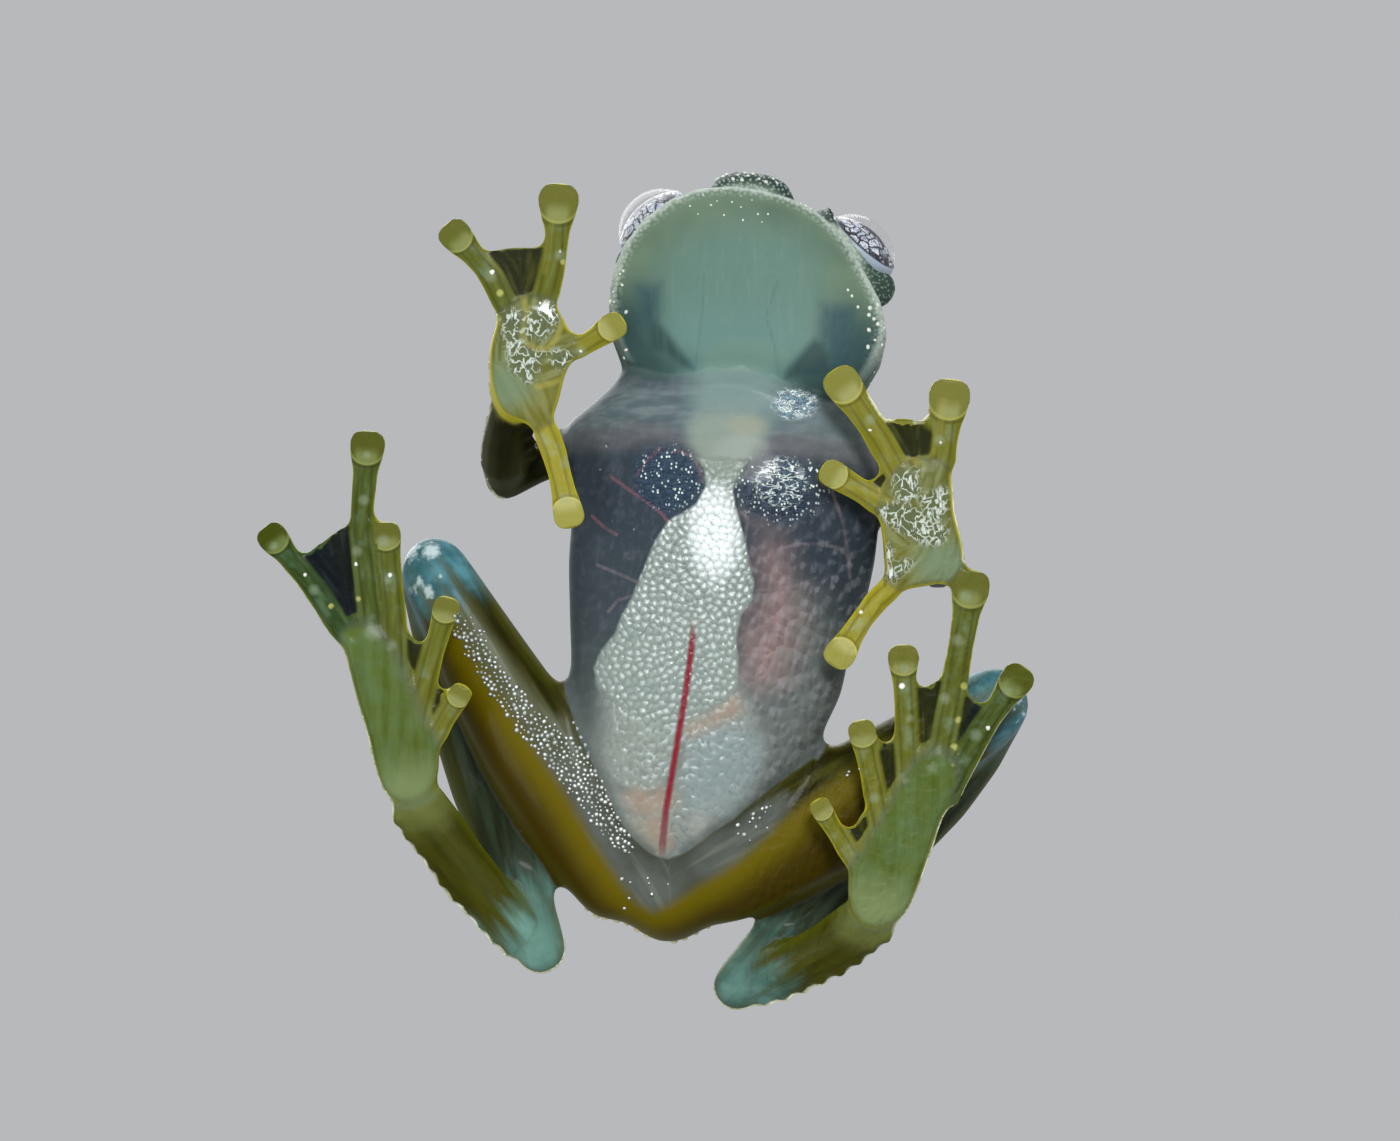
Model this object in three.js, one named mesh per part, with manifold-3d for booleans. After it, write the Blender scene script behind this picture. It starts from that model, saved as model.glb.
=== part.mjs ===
// A glass frog, life size, lying flat as it clings: head towards -Y, back up, discs and palms on the floor.
// Millimetres. X runs across the body, the frog's own right side is -X.
import * as THREE from 'three';
import { mergeVertices } from 'three/addons/utils/BufferGeometryUtils.js';
import Module from 'manifold-3d';

const wasm = await Module();
wasm.setup();

// Overall sizes
const partGap = 0.3; // clearance between parts that touch in life
const bodyCentreX = 0.07; // middle of the whole outline, moved to X = 0
const bodyCentreY = -0.22; // middle of the whole outline, moved to Y = 0

// Colours of the skin, each as a colour, a roughness and a metalness
const finishes = {
  belly: { color: '#9a9fa8', roughness: 0.3, metalness: 0 },
  head: { color: '#9fb9ad', roughness: 0.35, metalness: 0 },
  eye: { color: '#c9ccd2', roughness: 0.08, metalness: 0 },
  thigh: { color: '#b39a4c', roughness: 0.35, metalness: 0 },
  shank: { color: '#6f9a98', roughness: 0.35, metalness: 0 },
  arm: { color: '#a9a56a', roughness: 0.35, metalness: 0 },
  foot: { color: '#b4b45c', roughness: 0.3, metalness: 0 },
  disc: { color: '#c4b83e', roughness: 0.3, metalness: 0 },
};

// Trunk: one section every few millimetres from the neck to the pelvis
const trunk = {
  y: [-10.4, -9.3, -8.2, -7.0, -6.0, -4.8, -3.1, -1.5, 0.1, 2.0, 4.0, 6.3, 8.3, 9.9, 11.2, 12.4],
  centreX: [4.1, 4.0, 3.45, 2.7, 2.9, 3.2, 3.2, 3.05, 2.9, 2.6, 2.45, 2.05, 1.5, 1.15, 0.95, 0.85],
  halfWidth: [3.8, 4.75, 5.35, 6.05, 6.2, 6.35, 6.3, 6.3, 6.1, 5.75, 5.5, 4.75, 4.2, 3.7, 2.9, 1.4],
  underside: [2.5, 2.0, 1.5, 1.1, 0.85, 0.65, 0.5, 0.4, 0.4, 0.4, 0.45, 0.6, 0.9, 1.3, 1.9, 2.8],
  back: [6.1, 6.5, 6.8, 7.1, 7.3, 7.45, 7.5, 7.5, 7.4, 7.2, 7.0, 6.8, 6.5, 6.2, 5.8, 5.0],
};
const trunkSides = 28;
const trunkWaist = 0.42; // height of the widest line, as a share of the section's height

// Pelvis, the wedge between the thighs
const pelvis = {
  path: [[1.15, 9.8, 4.0], [0.95, 11.6, 4.1], [0.85, 12.9, 4.1]],
  half: [1.9, 2.2, 2.1, 1.5],
  rise: [1.7, 1.6, 1.5, 1.3],
  drop: [2.2, 2.4, 2.2, 1.8],
  ends: [0.8, 1.35],
};

// Head: its own frame has the mouth line at Z = 0, the snout towards -Y, and is set on the neck by these
const headPlace = [4.1, -11.2, 2.9];
const headPitch = -8; // degrees, the snout raised
const headRoll = 3; // degrees, the crown towards +X
const headYaw = 5.8; // degrees, the snout towards +X
// Distance from the head's middle to the lip at every 30 degrees, starting at the snout and going round by +X
const lipRadii = [5.5, 5.36, 5.2, 5.75, 5.3, 2.8, 2.15, 2.75, 5.2, 5.76, 6.05, 5.97];
const headSides = 28;
const crown = 4.15; // height of the flat between the eyes, above the mouth line
const chin = 1.5; // depth of the throat below the mouth line
const eye = { radius: 1.78, across: 3.98, ahead: 3.8, above: 2.75 };
const lidThickness = 0.5;
const gazeTurn = 40; // degrees from straight ahead to where an eye looks
const gazeDrop = 18; // degrees below the level, to the middle of the open lids
const lidOpening = { radius: 2.45, out: 1.75 }; // ball that cuts the lids open, and how far out it stands
const cheek = { radius: 0.85, across: 4.95, ahead: 2.25, above: 1.9 }; // swelling below and behind each eye
const snout = { across: -0.5, ahead: 4.75, above: 1.7, halfWidth: 1.85, length: 1.75, height: 1.35, bluntness: 2.8 };
const nostril = { across: 1.05, ahead: 5.75, above: 2.3, radius: 0.3 };

// Arms, as the joints and the bends between them
const arms = {
  right: {
    shoulder: [-1.1, -6.8, 4.5],
    armBend: [-3.6, -5.9, 4.8],
    elbow: [-5.8, -4.85, 4.9],
    forearmBend: [-5.8, -6.3, 3.1],
    wrist: [-5.5, -8.0, 1.2],
  },
  left: {
    shoulder: [7.6, -6.2, 4.5],
    armBend: [10.0, -3.9, 5.1],
    elbow: [11.9, -1.35, 5.4],
    forearmBend: [11.8, -1.6, 3.2],
    wrist: [11.4, -2.0, 1.2],
  },
};
const upperArm = { half: [1.15, 1.0, 0.85, 0.9], rise: [1.0, 0.95, 0.85, 0.9], ends: [0.8, 0.85] };
const forearm = { half: [0.9, 1.15, 1.05, 0.8], rise: [0.9, 1.0, 0.8, 0.65], ends: [0.85, 0.5] };

// Hands: the palm's outline, the four fingers and the webs between neighbours, all lying on the floor
const hands = {
  right: {
    middle: [-4.7, -10.0],
    palm: [[-6.15, -8.2], [-6.3, -9.4], [-6.15, -10.5], [-5.75, -11.3], [-4.7, -11.9], [-3.6, -11.6],
      [-3.1, -10.6], [-2.95, -9.7], [-3.3, -8.8], [-3.55, -7.7], [-4.1, -6.9], [-4.9, -7.0], [-5.7, -7.3]],
    digits: [
      { base: [-4.6, -8.0], bend: [-3.7, -5.8], tip: [-3.1, -3.3], shaft: 1.1, disc: 1.35 },
      { base: [-4.3, -9.4], bend: [-2.5, -10.1], tip: [-1.3, -10.85], shaft: 1.0, disc: 1.2 },
      { base: [-4.4, -10.6], bend: [-3.65, -13.7], tip: [-3.5, -15.85], shaft: 1.1, disc: 1.75 },
      { base: [-5.1, -10.4], bend: [-6.2, -12.8], tip: [-7.65, -14.5], shaft: 1.05, disc: 1.4 },
    ],
    webs: [null, { reach: [0.35, 0.3], edge: [-2.9, -11.1] }, { reach: [0.62, 0.75], edge: [-5.3, -14.0] }],
  },
  left: {
    middle: [11.0, -3.7],
    palm: [[12.6, -2.4], [12.7, -1.4], [12.1, -0.7], [11.1, -0.4], [10.2, -0.4], [9.6, -1.1], [9.5, -2.2],
      [9.4, -3.2], [9.7, -4.3], [10.2, -5.1], [11.0, -5.4], [11.8, -5.3], [12.25, -4.6], [12.3, -3.5]],
    digits: [
      { base: [11.2, -1.6], bend: [9.2, 0.2], tip: [7.75, 2.3], shaft: 1.05, disc: 1.35 },
      { base: [10.9, -2.6], bend: [9.0, -4.0], tip: [7.45, -4.95], shaft: 1.1, disc: 1.2 },
      { base: [11.0, -3.4], bend: [9.4, -6.3], tip: [7.85, -8.55], shaft: 1.3, disc: 1.6 },
      { base: [11.4, -3.4], bend: [11.9, -5.8], tip: [12.15, -8.0], shaft: 1.25, disc: 1.8 },
    ],
    webs: [null, { reach: [0.3, 0.3], edge: [9.3, -4.9] }, { reach: [0.62, 0.7], edge: [10.3, -7.1] }],
  },
};

// Legs, as the joints and the bends between them; the shank lies over the thigh
const legs = {
  right: {
    hip: [-1.0, 11.7, 3.4],
    thighBends: [[-4.15, 6.85, 3.4], [-6.5, 2.8, 3.6]],
    knee: [-8.75, -1.25, 4.1],
    shankTop: [-8.95, -0.9, 5.0],
    shankBends: [[-8.1, 2.2, 5.7], [-6.85, 7.4, 5.5], [-5.6, 10.6, 4.5]],
    heel: [-4.3, 14.35, 3.2],
    tarsusBend: [-6.8, 11.6, 2.1],
    ankle: [-9.3, 8.0, 1.1],
    girth: 1,
  },
  left: {
    hip: [2.65, 11.5, 3.4],
    thighBends: [[7.4, 8.95, 3.5], [11.1, 6.5, 3.7]],
    knee: [14.35, 4.2, 4.1],
    shankTop: [14.5, 4.4, 5.1],
    shankBends: [[12.9, 6.9, 5.9], [10.9, 9.2, 5.8], [5.5, 13.9, 4.9]],
    heel: [3.65, 15.9, 4.1],
    tarsusBend: [6.9, 14.5, 2.7],
    ankle: [9.2, 12.7, 1.15],
    girth: 1.08,
  },
};
const thigh = { half: [1.85, 2.15, 2.2, 1.75, 1.3], rise: [1.6, 1.75, 1.65, 1.5, 1.2], ends: [1.4, 1.25] };
const shank = { half: [1.25, 1.5, 1.5, 1.25, 1.1], rise: [1.1, 1.35, 1.3, 1.1, 1.0], ends: [1.15, 1.05] };
const tarsus = { half: [1.0, 1.05, 1.1, 1.15], rise: [0.9, 0.85, 0.8, 0.75], ends: [1.0, 0.6] };

// Scalloped fringe along the outer edge of the forearm, tarsus and sole
const fringe = { radius: 0.3, spacing: 0.8, sink: 0.12 };

// Rounded back of a palm or sole, from the wrist or ankle to the fork of the middle digits
const palmBack = { half: [0.85, 1.2, 1.0], rise: [0.6, 0.55, 0.3], drop: [0.8, 0.8, 0.6], ends: [0.4, 0.5] };
const soleBack = { half: [0.95, 0.95, 0.8], rise: [0.6, 0.5, 0.3], drop: [0.8, 0.8, 0.6], ends: [0.5, 0.5] };

// Feet: the sole's outline, the five toes and the webs between neighbours
const feet = {
  right: {
    middle: [-10.5, 4.6],
    sole: [[-10.6, 7.6], [-11.1, 5.7], [-11.7, 3.7], [-12.0, 2.4], [-12.15, 1.3], [-11.4, 0.9], [-10.5, 1.5],
      [-9.8, 2.5], [-9.3, 3.8], [-8.65, 5.2], [-8.3, 6.4], [-8.5, 7.6], [-9.2, 8.2], [-10.0, 8.2]],
    digits: [
      { base: [-9.2, 7.2], bend: [-8.2, 5.2], tip: [-7.45, 3.9], shaft: 0.9, disc: 1.0 },
      { base: [-9.5, 6.2], bend: [-8.7, 2.9], tip: [-8.0, 0.45], shaft: 1.0, disc: 1.15 },
      { base: [-10.0, 4.6], bend: [-10.1, 0.6], tip: [-10.4, -2.5], shaft: 1.05, disc: 1.25 },
      { base: [-10.7, 3.2], bend: [-11.4, -2.6], tip: [-11.15, -6.05], shaft: 1.1, disc: 1.5 },
      { base: [-11.0, 3.4], bend: [-13.0, 0.1], tip: [-14.95, -2.4], shaft: 1.0, disc: 1.3 },
    ],
    webs: [
      { reach: [0.3, 0.3], edge: [-8.35, 4.8] },
      { reach: [0.45, 0.4], edge: [-9.35, 1.6] },
      { reach: [0.6, 0.4], edge: [-10.75, -1.2] },
      { reach: [0.7, 0.8], edge: [-12.7, -2.4] },
    ],
  },
  left: {
    middle: [10.9, 9.4],
    sole: [[10.3, 12.8], [10.9, 11.6], [11.4, 10.1], [12.0, 8.5], [12.5, 7.3], [12.3, 6.2], [11.4, 6.0],
      [10.6, 6.7], [9.9, 8.0], [9.2, 9.2], [8.5, 10.3], [8.1, 11.3], [8.2, 12.5], [8.8, 13.2], [9.6, 13.2]],
    digits: [
      { base: [9.1, 12.0], bend: [8.0, 10.1], tip: [7.0, 8.45], shaft: 0.85, disc: 0.95 },
      { base: [9.7, 10.6], bend: [9.1, 7.6], tip: [8.65, 5.4], shaft: 1.0, disc: 1.2 },
      { base: [10.6, 8.8], bend: [10.4, 5.0], tip: [10.3, 2.45], shaft: 1.0, disc: 1.35 },
      { base: [11.5, 7.8], bend: [12.4, 3.2], tip: [13.0, -0.4], shaft: 1.2, disc: 1.65 },
      { base: [11.9, 8.2], bend: [13.4, 5.4], tip: [14.85, 3.3], shaft: 1.1, disc: 1.45 },
    ],
    webs: [
      { reach: [0.35, 0.35], edge: [8.5, 8.9] },
      { reach: [0.55, 0.4], edge: [9.6, 5.9] },
      { reach: [0.72, 0.6], edge: [11.4, 3.5] },
      { reach: [0.6, 0.72], edge: [13.2, 4.2] },
    ],
  },
};

// Thicknesses on the floor
const padHeight = 1.15; // palms and soles
const padBevel = 0.3;
const webHeight = 0.55;
const webLift = 0.15; // clearance of a web above the floor
const digitHeight = 0.95;
const discHeight = 0.75;
const discBluntness = 2.6; // above 2 gives the disc its cut-off front
const discFront = 0.85; // reach of the disc past its middle, as a share of its radius

const upZ = new THREE.Vector3(0, 0, 1);

// Turns a list of three numbers into a point
function point(values) {
  return new THREE.Vector3(values[0], values[1], values[2]);
}

// Reads a short list of values as one smooth line, with t from 0 to 1
function along(values, t) {
  const spans = values.length - 1;
  const place = Math.min(Math.max(t, 0), 1) * spans;
  const i = Math.min(Math.floor(place), spans - 1);
  const f = place - i;
  const before = values[Math.max(i - 1, 0)];
  const after = values[Math.min(i + 2, spans)];
  const startSlope = (values[i + 1] - before) / 2;
  const endSlope = (after - values[i]) / 2;
  const cubic = 2 * values[i] - 2 * values[i + 1] + startSlope + endSlope;
  const square = -3 * values[i] + 3 * values[i + 1] - 2 * startSlope - endSlope;
  return ((cubic * f + square) * f + startSlope) * f + values[i];
}

// Joins rings of equal length into one closed surface, with a point at each end
function closedLoft(rings, firstPole, lastPole) {
  const sides = rings[0].length;
  const corners = [...rings.flat(), firstPole, lastPole];
  const first = corners.length - 2;
  const last = corners.length - 1;
  const faces = [];
  for (let r = 0; r < rings.length - 1; r += 1) {
    for (let k = 0; k < sides; k += 1) {
      const a = r * sides + k;
      const b = r * sides + (k + 1) % sides;
      faces.push([a, b, b + sides], [a, b + sides, a + sides]);
    }
  }
  const lastRing = (rings.length - 1) * sides;
  for (let k = 0; k < sides; k += 1) {
    const next = (k + 1) % sides;
    faces.push([first, next, k], [last, lastRing + k, lastRing + next]);
  }
  const geometry = new THREE.BufferGeometry().setFromPoints(corners);
  geometry.setIndex(facingOut(corners, faces).flat());
  return solidOf(geometry);
}

// Turns every face round when the enclosed volume comes out negative
function facingOut(corners, faces) {
  const cross = new THREE.Vector3();
  let volume = 0;
  faces.forEach(([a, b, c]) => {
    volume += corners[a].dot(cross.crossVectors(corners[b], corners[c]));
  });
  return volume > 0 ? faces : faces.map(([a, b, c]) => [a, c, b]);
}

// Makes a solid that can be joined and cut from a closed geometry
function solidOf(geometry) {
  const bare = new THREE.BufferGeometry();
  bare.setAttribute('position', geometry.getAttribute('position'));
  bare.setIndex(geometry.getIndex());
  const welded = mergeVertices(bare, 1e-5);
  const vertProperties = Float32Array.from(welded.getAttribute('position').array);
  const triVerts = Uint32Array.from(welded.getIndex().array);
  return new wasm.Manifold(new wasm.Mesh({ numProp: 3, vertProperties, triVerts }));
}

// Keeps the largest closed body of a solid, without sealed hollows or scraps
function largest(solid) {
  const bodies = solid.decompose().sort((a, b) => b.volume() - a.volume());
  return bodies[0];
}

// One cross-section: wider or squarer with power, flat where it would pass below the floor
function section(centre, side, up, size, sides, power, floor) {
  const ring = [];
  for (let k = 0; k < sides; k += 1) {
    const angle = (2 * Math.PI * (k + 0.5)) / sides;
    const across = Math.sign(Math.cos(angle)) * Math.abs(Math.cos(angle)) ** (2 / power) * size.half;
    const lift = Math.abs(Math.sin(angle)) ** (2 / power);
    const height = Math.sin(angle) > 0 ? lift * size.rise : -lift * size.drop;
    const corner = centre.clone().addScaledVector(side, across).addScaledVector(up, height);
    corner.z = Math.max(corner.z, floor);
    ring.push(corner);
  }
  return ring;
}

// A closed body along a path. Each station has its distance along the path and its sizes; the first and
// last station are the rounded ends, and grow makes the whole body larger on every side.
function sweep(points, stations, options) {
  const { sides = 12, power = 2, turn = upZ, floor = -Infinity, grow = 0 } = options;
  const curve = new THREE.CatmullRomCurve3(points, false, 'centripetal');
  const length = curve.getLength();
  const last = stations.length - 1;
  const placed = stations.map((station, i) => {
    const shift = i === 0 ? -grow : (i === last ? grow : 0);
    const distance = station.at + shift;
    const u = Math.min(Math.max(distance / length, 0), 1);
    const forward = curve.getTangentAt(u);
    const beyond = distance - u * length;
    const centre = curve.getPointAt(u).addScaledVector(forward, beyond);
    const side = new THREE.Vector3().crossVectors(forward, turn).normalize();
    const up = new THREE.Vector3().crossVectors(side, forward).normalize();
    return { centre, side, up, station };
  });
  const rings = placed.slice(1, last).map(({ centre, side, up, station }) => {
    const size = { half: station.half + grow, rise: station.rise + grow, drop: station.drop + grow };
    return section(centre, side, up, size, sides, power, floor - grow);
  });
  const poles = [placed[0], placed[last]].map(({ centre }) => {
    centre.z = Math.max(centre.z, floor - grow);
    return centre;
  });
  return closedLoft(rings, poles[0], poles[1]);
}

// Stations of a limb: sizes read along its length, closed by a rounded cap at each end
function limbStations(points, sizes, caps, steps) {
  const length = new THREE.CatmullRomCurve3(points, false, 'centripetal').getLength();
  const capSteps = 4;
  const distances = [];
  for (let i = 0; i <= capSteps; i += 1) {
    distances.push(caps[0] * (1 - Math.cos((i / capSteps) * Math.PI / 2)));
  }
  const middle = length - caps[0] - caps[1];
  for (let i = 1; i < steps; i += 1) {
    distances.push(caps[0] + middle * (i / steps));
  }
  for (let i = capSteps; i >= 0; i -= 1) {
    distances.push(length - caps[1] * (1 - Math.cos((i / capSteps) * Math.PI / 2)));
  }
  return distances.map((at) => {
    const start = Math.min(at / caps[0], 1);
    const end = Math.min((length - at) / caps[1], 1);
    const round = Math.sqrt(1 - (1 - start) ** 2) * Math.sqrt(1 - (1 - end) ** 2);
    const t = at / length;
    return {
      at,
      half: along(sizes.half, t) * round,
      rise: along(sizes.rise, t) * round,
      drop: along(sizes.drop, t) * round,
    };
  });
}

// A limb segment as a function of how much larger it is to be made. Its path runs past both joints by the
// lengths in ends, which are rounded off.
function limb(places, { half, rise, drop = rise, ends }, girth, steps, options = {}) {
  const points = places.map(point);
  const last = points.length - 1;
  const start = points[0].clone().sub(points[1]).setLength(ends[0]).add(points[0]);
  const finish = points[last].clone().sub(points[last - 1]).setLength(ends[1]).add(points[last]);
  const path = [start, ...points, finish];
  const larger = (values) => values.map((value) => value * girth);
  const stations = limbStations(path, { half: larger(half), rise: larger(rise), drop: larger(drop) }, ends, steps);
  return (grow = 0) => sweep(path, stations, { ...options, grow });
}

// A ball, or with three sizes an egg shape
function blob(sizes, place, [around, down]) {
  const geometry = new THREE.SphereGeometry(1, around, down);
  geometry.scale(...sizes);
  geometry.translate(...place);
  return solidOf(geometry);
}

function ball(radius, place, detail) {
  return blob([radius, radius, radius], place, detail);
}

// Adds a row of scallops along one side of a limb, from one share of its path to another
function withFringe(solid, places, { half }, hand, [from, to], lift) {
  const curve = new THREE.CatmullRomCurve3(places.map(point), false, 'centripetal');
  const count = Math.round((curve.getLength() * (to - from)) / fringe.spacing);
  let fringed = solid;
  for (let i = 0; i <= count; i += 1) {
    const t = from + ((to - from) * i) / count;
    const forward = curve.getTangentAt(t);
    const side = new THREE.Vector3().crossVectors(forward, upZ).normalize();
    const reach = along(half, t) - fringe.sink;
    const centre = curve.getPointAt(t).addScaledVector(side, hand * reach);
    const size = fringe.radius * (0.85 + 0.3 * Math.abs(Math.sin(i * 2.3)));
    fringed = fringed.add(ball(size, [centre.x, centre.y, centre.z + lift], [6, 4]));
  }
  return fringed;
}

// A finger or toe: a shaft with slight joints, and a blunt disc at the tip, flat on the floor
function digit({ base, bend, tip, shaft, disc }) {
  const radius = disc / 2;
  const shaftCentre = 0.5 * digitHeight;
  const points = [[...base, shaftCentre], [...bend, shaftCentre], [...tip, 0.42 * discHeight]].map(point);
  const length = new THREE.CatmullRomCurve3(points, false, 'centripetal').getLength();
  const stations = [{ at: 0, half: 0, rise: 0, drop: 0 }];
  const shaftStart = 0.12;
  const shaftEnd = length - 1.35 * radius;
  const shaftSteps = 5;
  for (let i = 0; i <= shaftSteps; i += 1) {
    const share = i / shaftSteps;
    const knuckle = 1 + 0.06 * Math.cos(share * Math.PI * 4);
    const half = (shaft / 2) * knuckle * (1.05 - 0.15 * share);
    const at = shaftStart + (shaftEnd - shaftStart) * share;
    stations.push({ at, half, rise: digitHeight * (0.52 - 0.1 * share), drop: digitHeight * 0.42 });
  }
  const neckHalf = (shaft / 2) * 0.97;
  stations.push({
    at: length - 0.65 * radius,
    half: neckHalf + (radius - neckHalf) * 0.6,
    rise: discHeight * 0.55,
    drop: discHeight,
  });
  [0, 0.45, 0.75, 0.93, 1].forEach((share) => {
    const round = (1 - share ** discBluntness) ** (1 / discBluntness);
    stations.push({
      at: length + discFront * radius * share,
      half: radius * round,
      rise: discHeight * 0.55 * Math.sqrt(round),
      drop: discHeight,
    });
  });
  return (grow = 0) => sweep(points, stations, { sides: 8, power: 2.3, floor: 0, grow });
}

// A flat pad with rounded edges inside a closed outline
function pad(outline, bottom, height, bevel, grow) {
  const loop = new THREE.CatmullRomCurve3(outline.map(([x, y]) => new THREE.Vector3(x, y, 0)), true);
  const count = outline.length * 2;
  const rim = loop.getPoints(count).slice(0, count);
  const shape = new THREE.Shape(rim.map(({ x, y }) => new THREE.Vector2(x, y)));
  const geometry = new THREE.ExtrudeGeometry(shape, {
    depth: height - 2 * bevel,
    steps: 1,
    bevelEnabled: true,
    bevelThickness: bevel + grow,
    bevelSize: bevel,
    bevelOffset: grow - bevel,
    bevelSegments: 2,
  });
  geometry.translate(0, 0, bottom + bevel);
  return solidOf(mergedFaces(geometry));
}

// An extruded geometry repeats its corners, so it gets an index before it becomes a solid
function mergedFaces(geometry) {
  const bare = new THREE.BufferGeometry();
  bare.setAttribute('position', geometry.getAttribute('position'));
  return mergeVertices(bare, 1e-4);
}

// A thin web between two digits, with a hollow outer edge
function web(first, second, { reach, edge }) {
  const onDigit = (digitSizes, share) => {
    const curve = new THREE.CatmullRomCurve3(
      [[...digitSizes.base, 0], [...digitSizes.bend, 0], [...digitSizes.tip, 0]].map(point), false, 'centripetal');
    return curve.getPointAt(share);
  };
  const start = onDigit(first, reach[0]);
  const end = onDigit(second, reach[1]);
  const shape = new THREE.Shape();
  shape.moveTo(first.base[0], first.base[1]);
  const halfWay = onDigit(first, reach[0] / 2);
  shape.lineTo(halfWay.x, halfWay.y);
  shape.lineTo(start.x, start.y);
  const pullX = 2 * edge[0] - (start.x + end.x) / 2;
  const pullY = 2 * edge[1] - (start.y + end.y) / 2;
  shape.quadraticCurveTo(pullX, pullY, end.x, end.y);
  const halfBack = onDigit(second, reach[1] / 2);
  shape.lineTo(halfBack.x, halfBack.y);
  shape.lineTo(second.base[0], second.base[1]);
  const geometry = new THREE.ExtrudeGeometry(shape, { depth: webHeight, bevelEnabled: false, curveSegments: 8 });
  geometry.translate(0, 0, webLift);
  return solidOf(mergedFaces(geometry));
}

// Cuts a body clear of its neighbours, each given as a function of how much larger it is made
function clearOf(solid, neighbours) {
  return neighbours.reduce((rest, neighbour) => rest.subtract(neighbour(partGap)), solid);
}

// The digits of a hand or foot, each with the web towards the one before it, and all clear of one another
function webbedDigits(sizes, bodies, webs, padBody) {
  return bodies.map((body, i) => {
    const sheet = i > 0 ? webs[i - 1] : null;
    const whole = sheet ? body().add(web(sizes[i - 1], sizes[i], sheet)) : body();
    return largest(clearOf(whole, [padBody, ...bodies.slice(0, i)]));
  });
}

// The trunk, as rings across the body
function trunkBody(grow = 0) {
  const rings = trunk.y.map((y, i) => {
    const low = trunk.underside[i] - grow;
    const high = trunk.back[i] + grow;
    const waist = low + (high - low) * trunkWaist;
    const centre = new THREE.Vector3(trunk.centreX[i], y, waist);
    const size = { half: trunk.halfWidth[i] + grow, rise: high - waist, drop: waist - low };
    return section(centre, new THREE.Vector3(1, 0, 0), upZ, size, trunkSides, 2.25, -Infinity);
  });
  const lastIndex = trunk.y.length - 1;
  const ends = [0, lastIndex].map((i) => {
    const beyond = i === 0 ? -0.5 : 0.9;
    const middle = (trunk.underside[i] + trunk.back[i]) / 2;
    return new THREE.Vector3(trunk.centreX[i], trunk.y[i] + beyond, middle);
  });
  return closedLoft(rings, ends[0], ends[1]);
}

// Distance from the head's middle to the lip, at an angle from the snout
function lipRadius(angle) {
  const count = lipRadii.length;
  const place = ((angle / (2 * Math.PI)) * count + count) % count;
  const i = Math.floor(place);
  const f = place - i;
  const at = (k) => lipRadii[(k + count) % count];
  return along([at(i - 1), at(i), at(i + 1), at(i + 2)], (1 + f) / 3);
}

// One level outline of the head. Share gives how far it reaches of the lip's distance at the snout,
// at the sides and at the neck.
function headRing(height, share, grow) {
  const ring = [];
  for (let k = 0; k < headSides; k += 1) {
    const angle = (2 * Math.PI * k) / headSides;
    const front = Math.max(Math.cos(angle), 0) ** 1.5;
    const rear = Math.max(-Math.cos(angle), 0) ** 3;
    const flank = 1 - front - rear;
    const reach = share.snout * front + share.side * flank + share.neck * rear;
    const radius = lipRadius(angle) * reach + grow;
    ring.push(new THREE.Vector3(Math.sin(angle) * radius, -Math.cos(angle) * radius, height));
  }
  return ring;
}

// Skull, snout and lids, in the head's own frame
function skullBody(grow = 0) {
  const levels = [
    { z: 0.15, snout: 0.93, side: 0.96, neck: 1.1 },
    { z: 0.4, snout: 0.985, side: 0.99, neck: 1.25 },
    { z: 0.9, snout: 1.0, side: 0.975, neck: 1.4 },
    { z: 1.6, snout: 1.03, side: 0.93, neck: 1.55 },
    { z: 2.2, snout: 1.0, side: 0.89, neck: 1.7 },
    { z: 2.8, snout: 0.92, side: 0.84, neck: 1.8 },
    { z: 3.3, snout: 0.8, side: 0.77, neck: 1.75 },
    { z: 3.75, snout: 0.6, side: 0.64, neck: 1.5 },
    { z: 4.05, snout: 0.35, side: 0.4, neck: 1.0 },
  ];
  const rings = levels.map((level) => headRing(level.z + (level.z > 1 ? grow : -grow), level, grow));
  const under = new THREE.Vector3(0, 0, levels[0].z - grow);
  const top = new THREE.Vector3(0, 0, crown + grow);
  return closedLoft(rings, under, top);
}

// The blunt front of the snout, a cushion that lies across it
function snoutBody() {
  const ends = [-1, 1].map((hand) => {
    return new THREE.Vector3(snout.across + hand * snout.halfWidth, -snout.ahead, snout.above);
  });
  const stations = [-1, -0.93, -0.75, -0.4, 0, 0.4, 0.75, 0.93, 1].map((share) => {
    const round = (1 - Math.abs(share) ** snout.bluntness) ** (1 / snout.bluntness);
    const height = snout.height * round;
    return { at: snout.halfWidth * (1 + share), half: snout.length * round, rise: height, drop: height };
  });
  return sweep(ends, stations, { sides: 14 });
}

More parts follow.
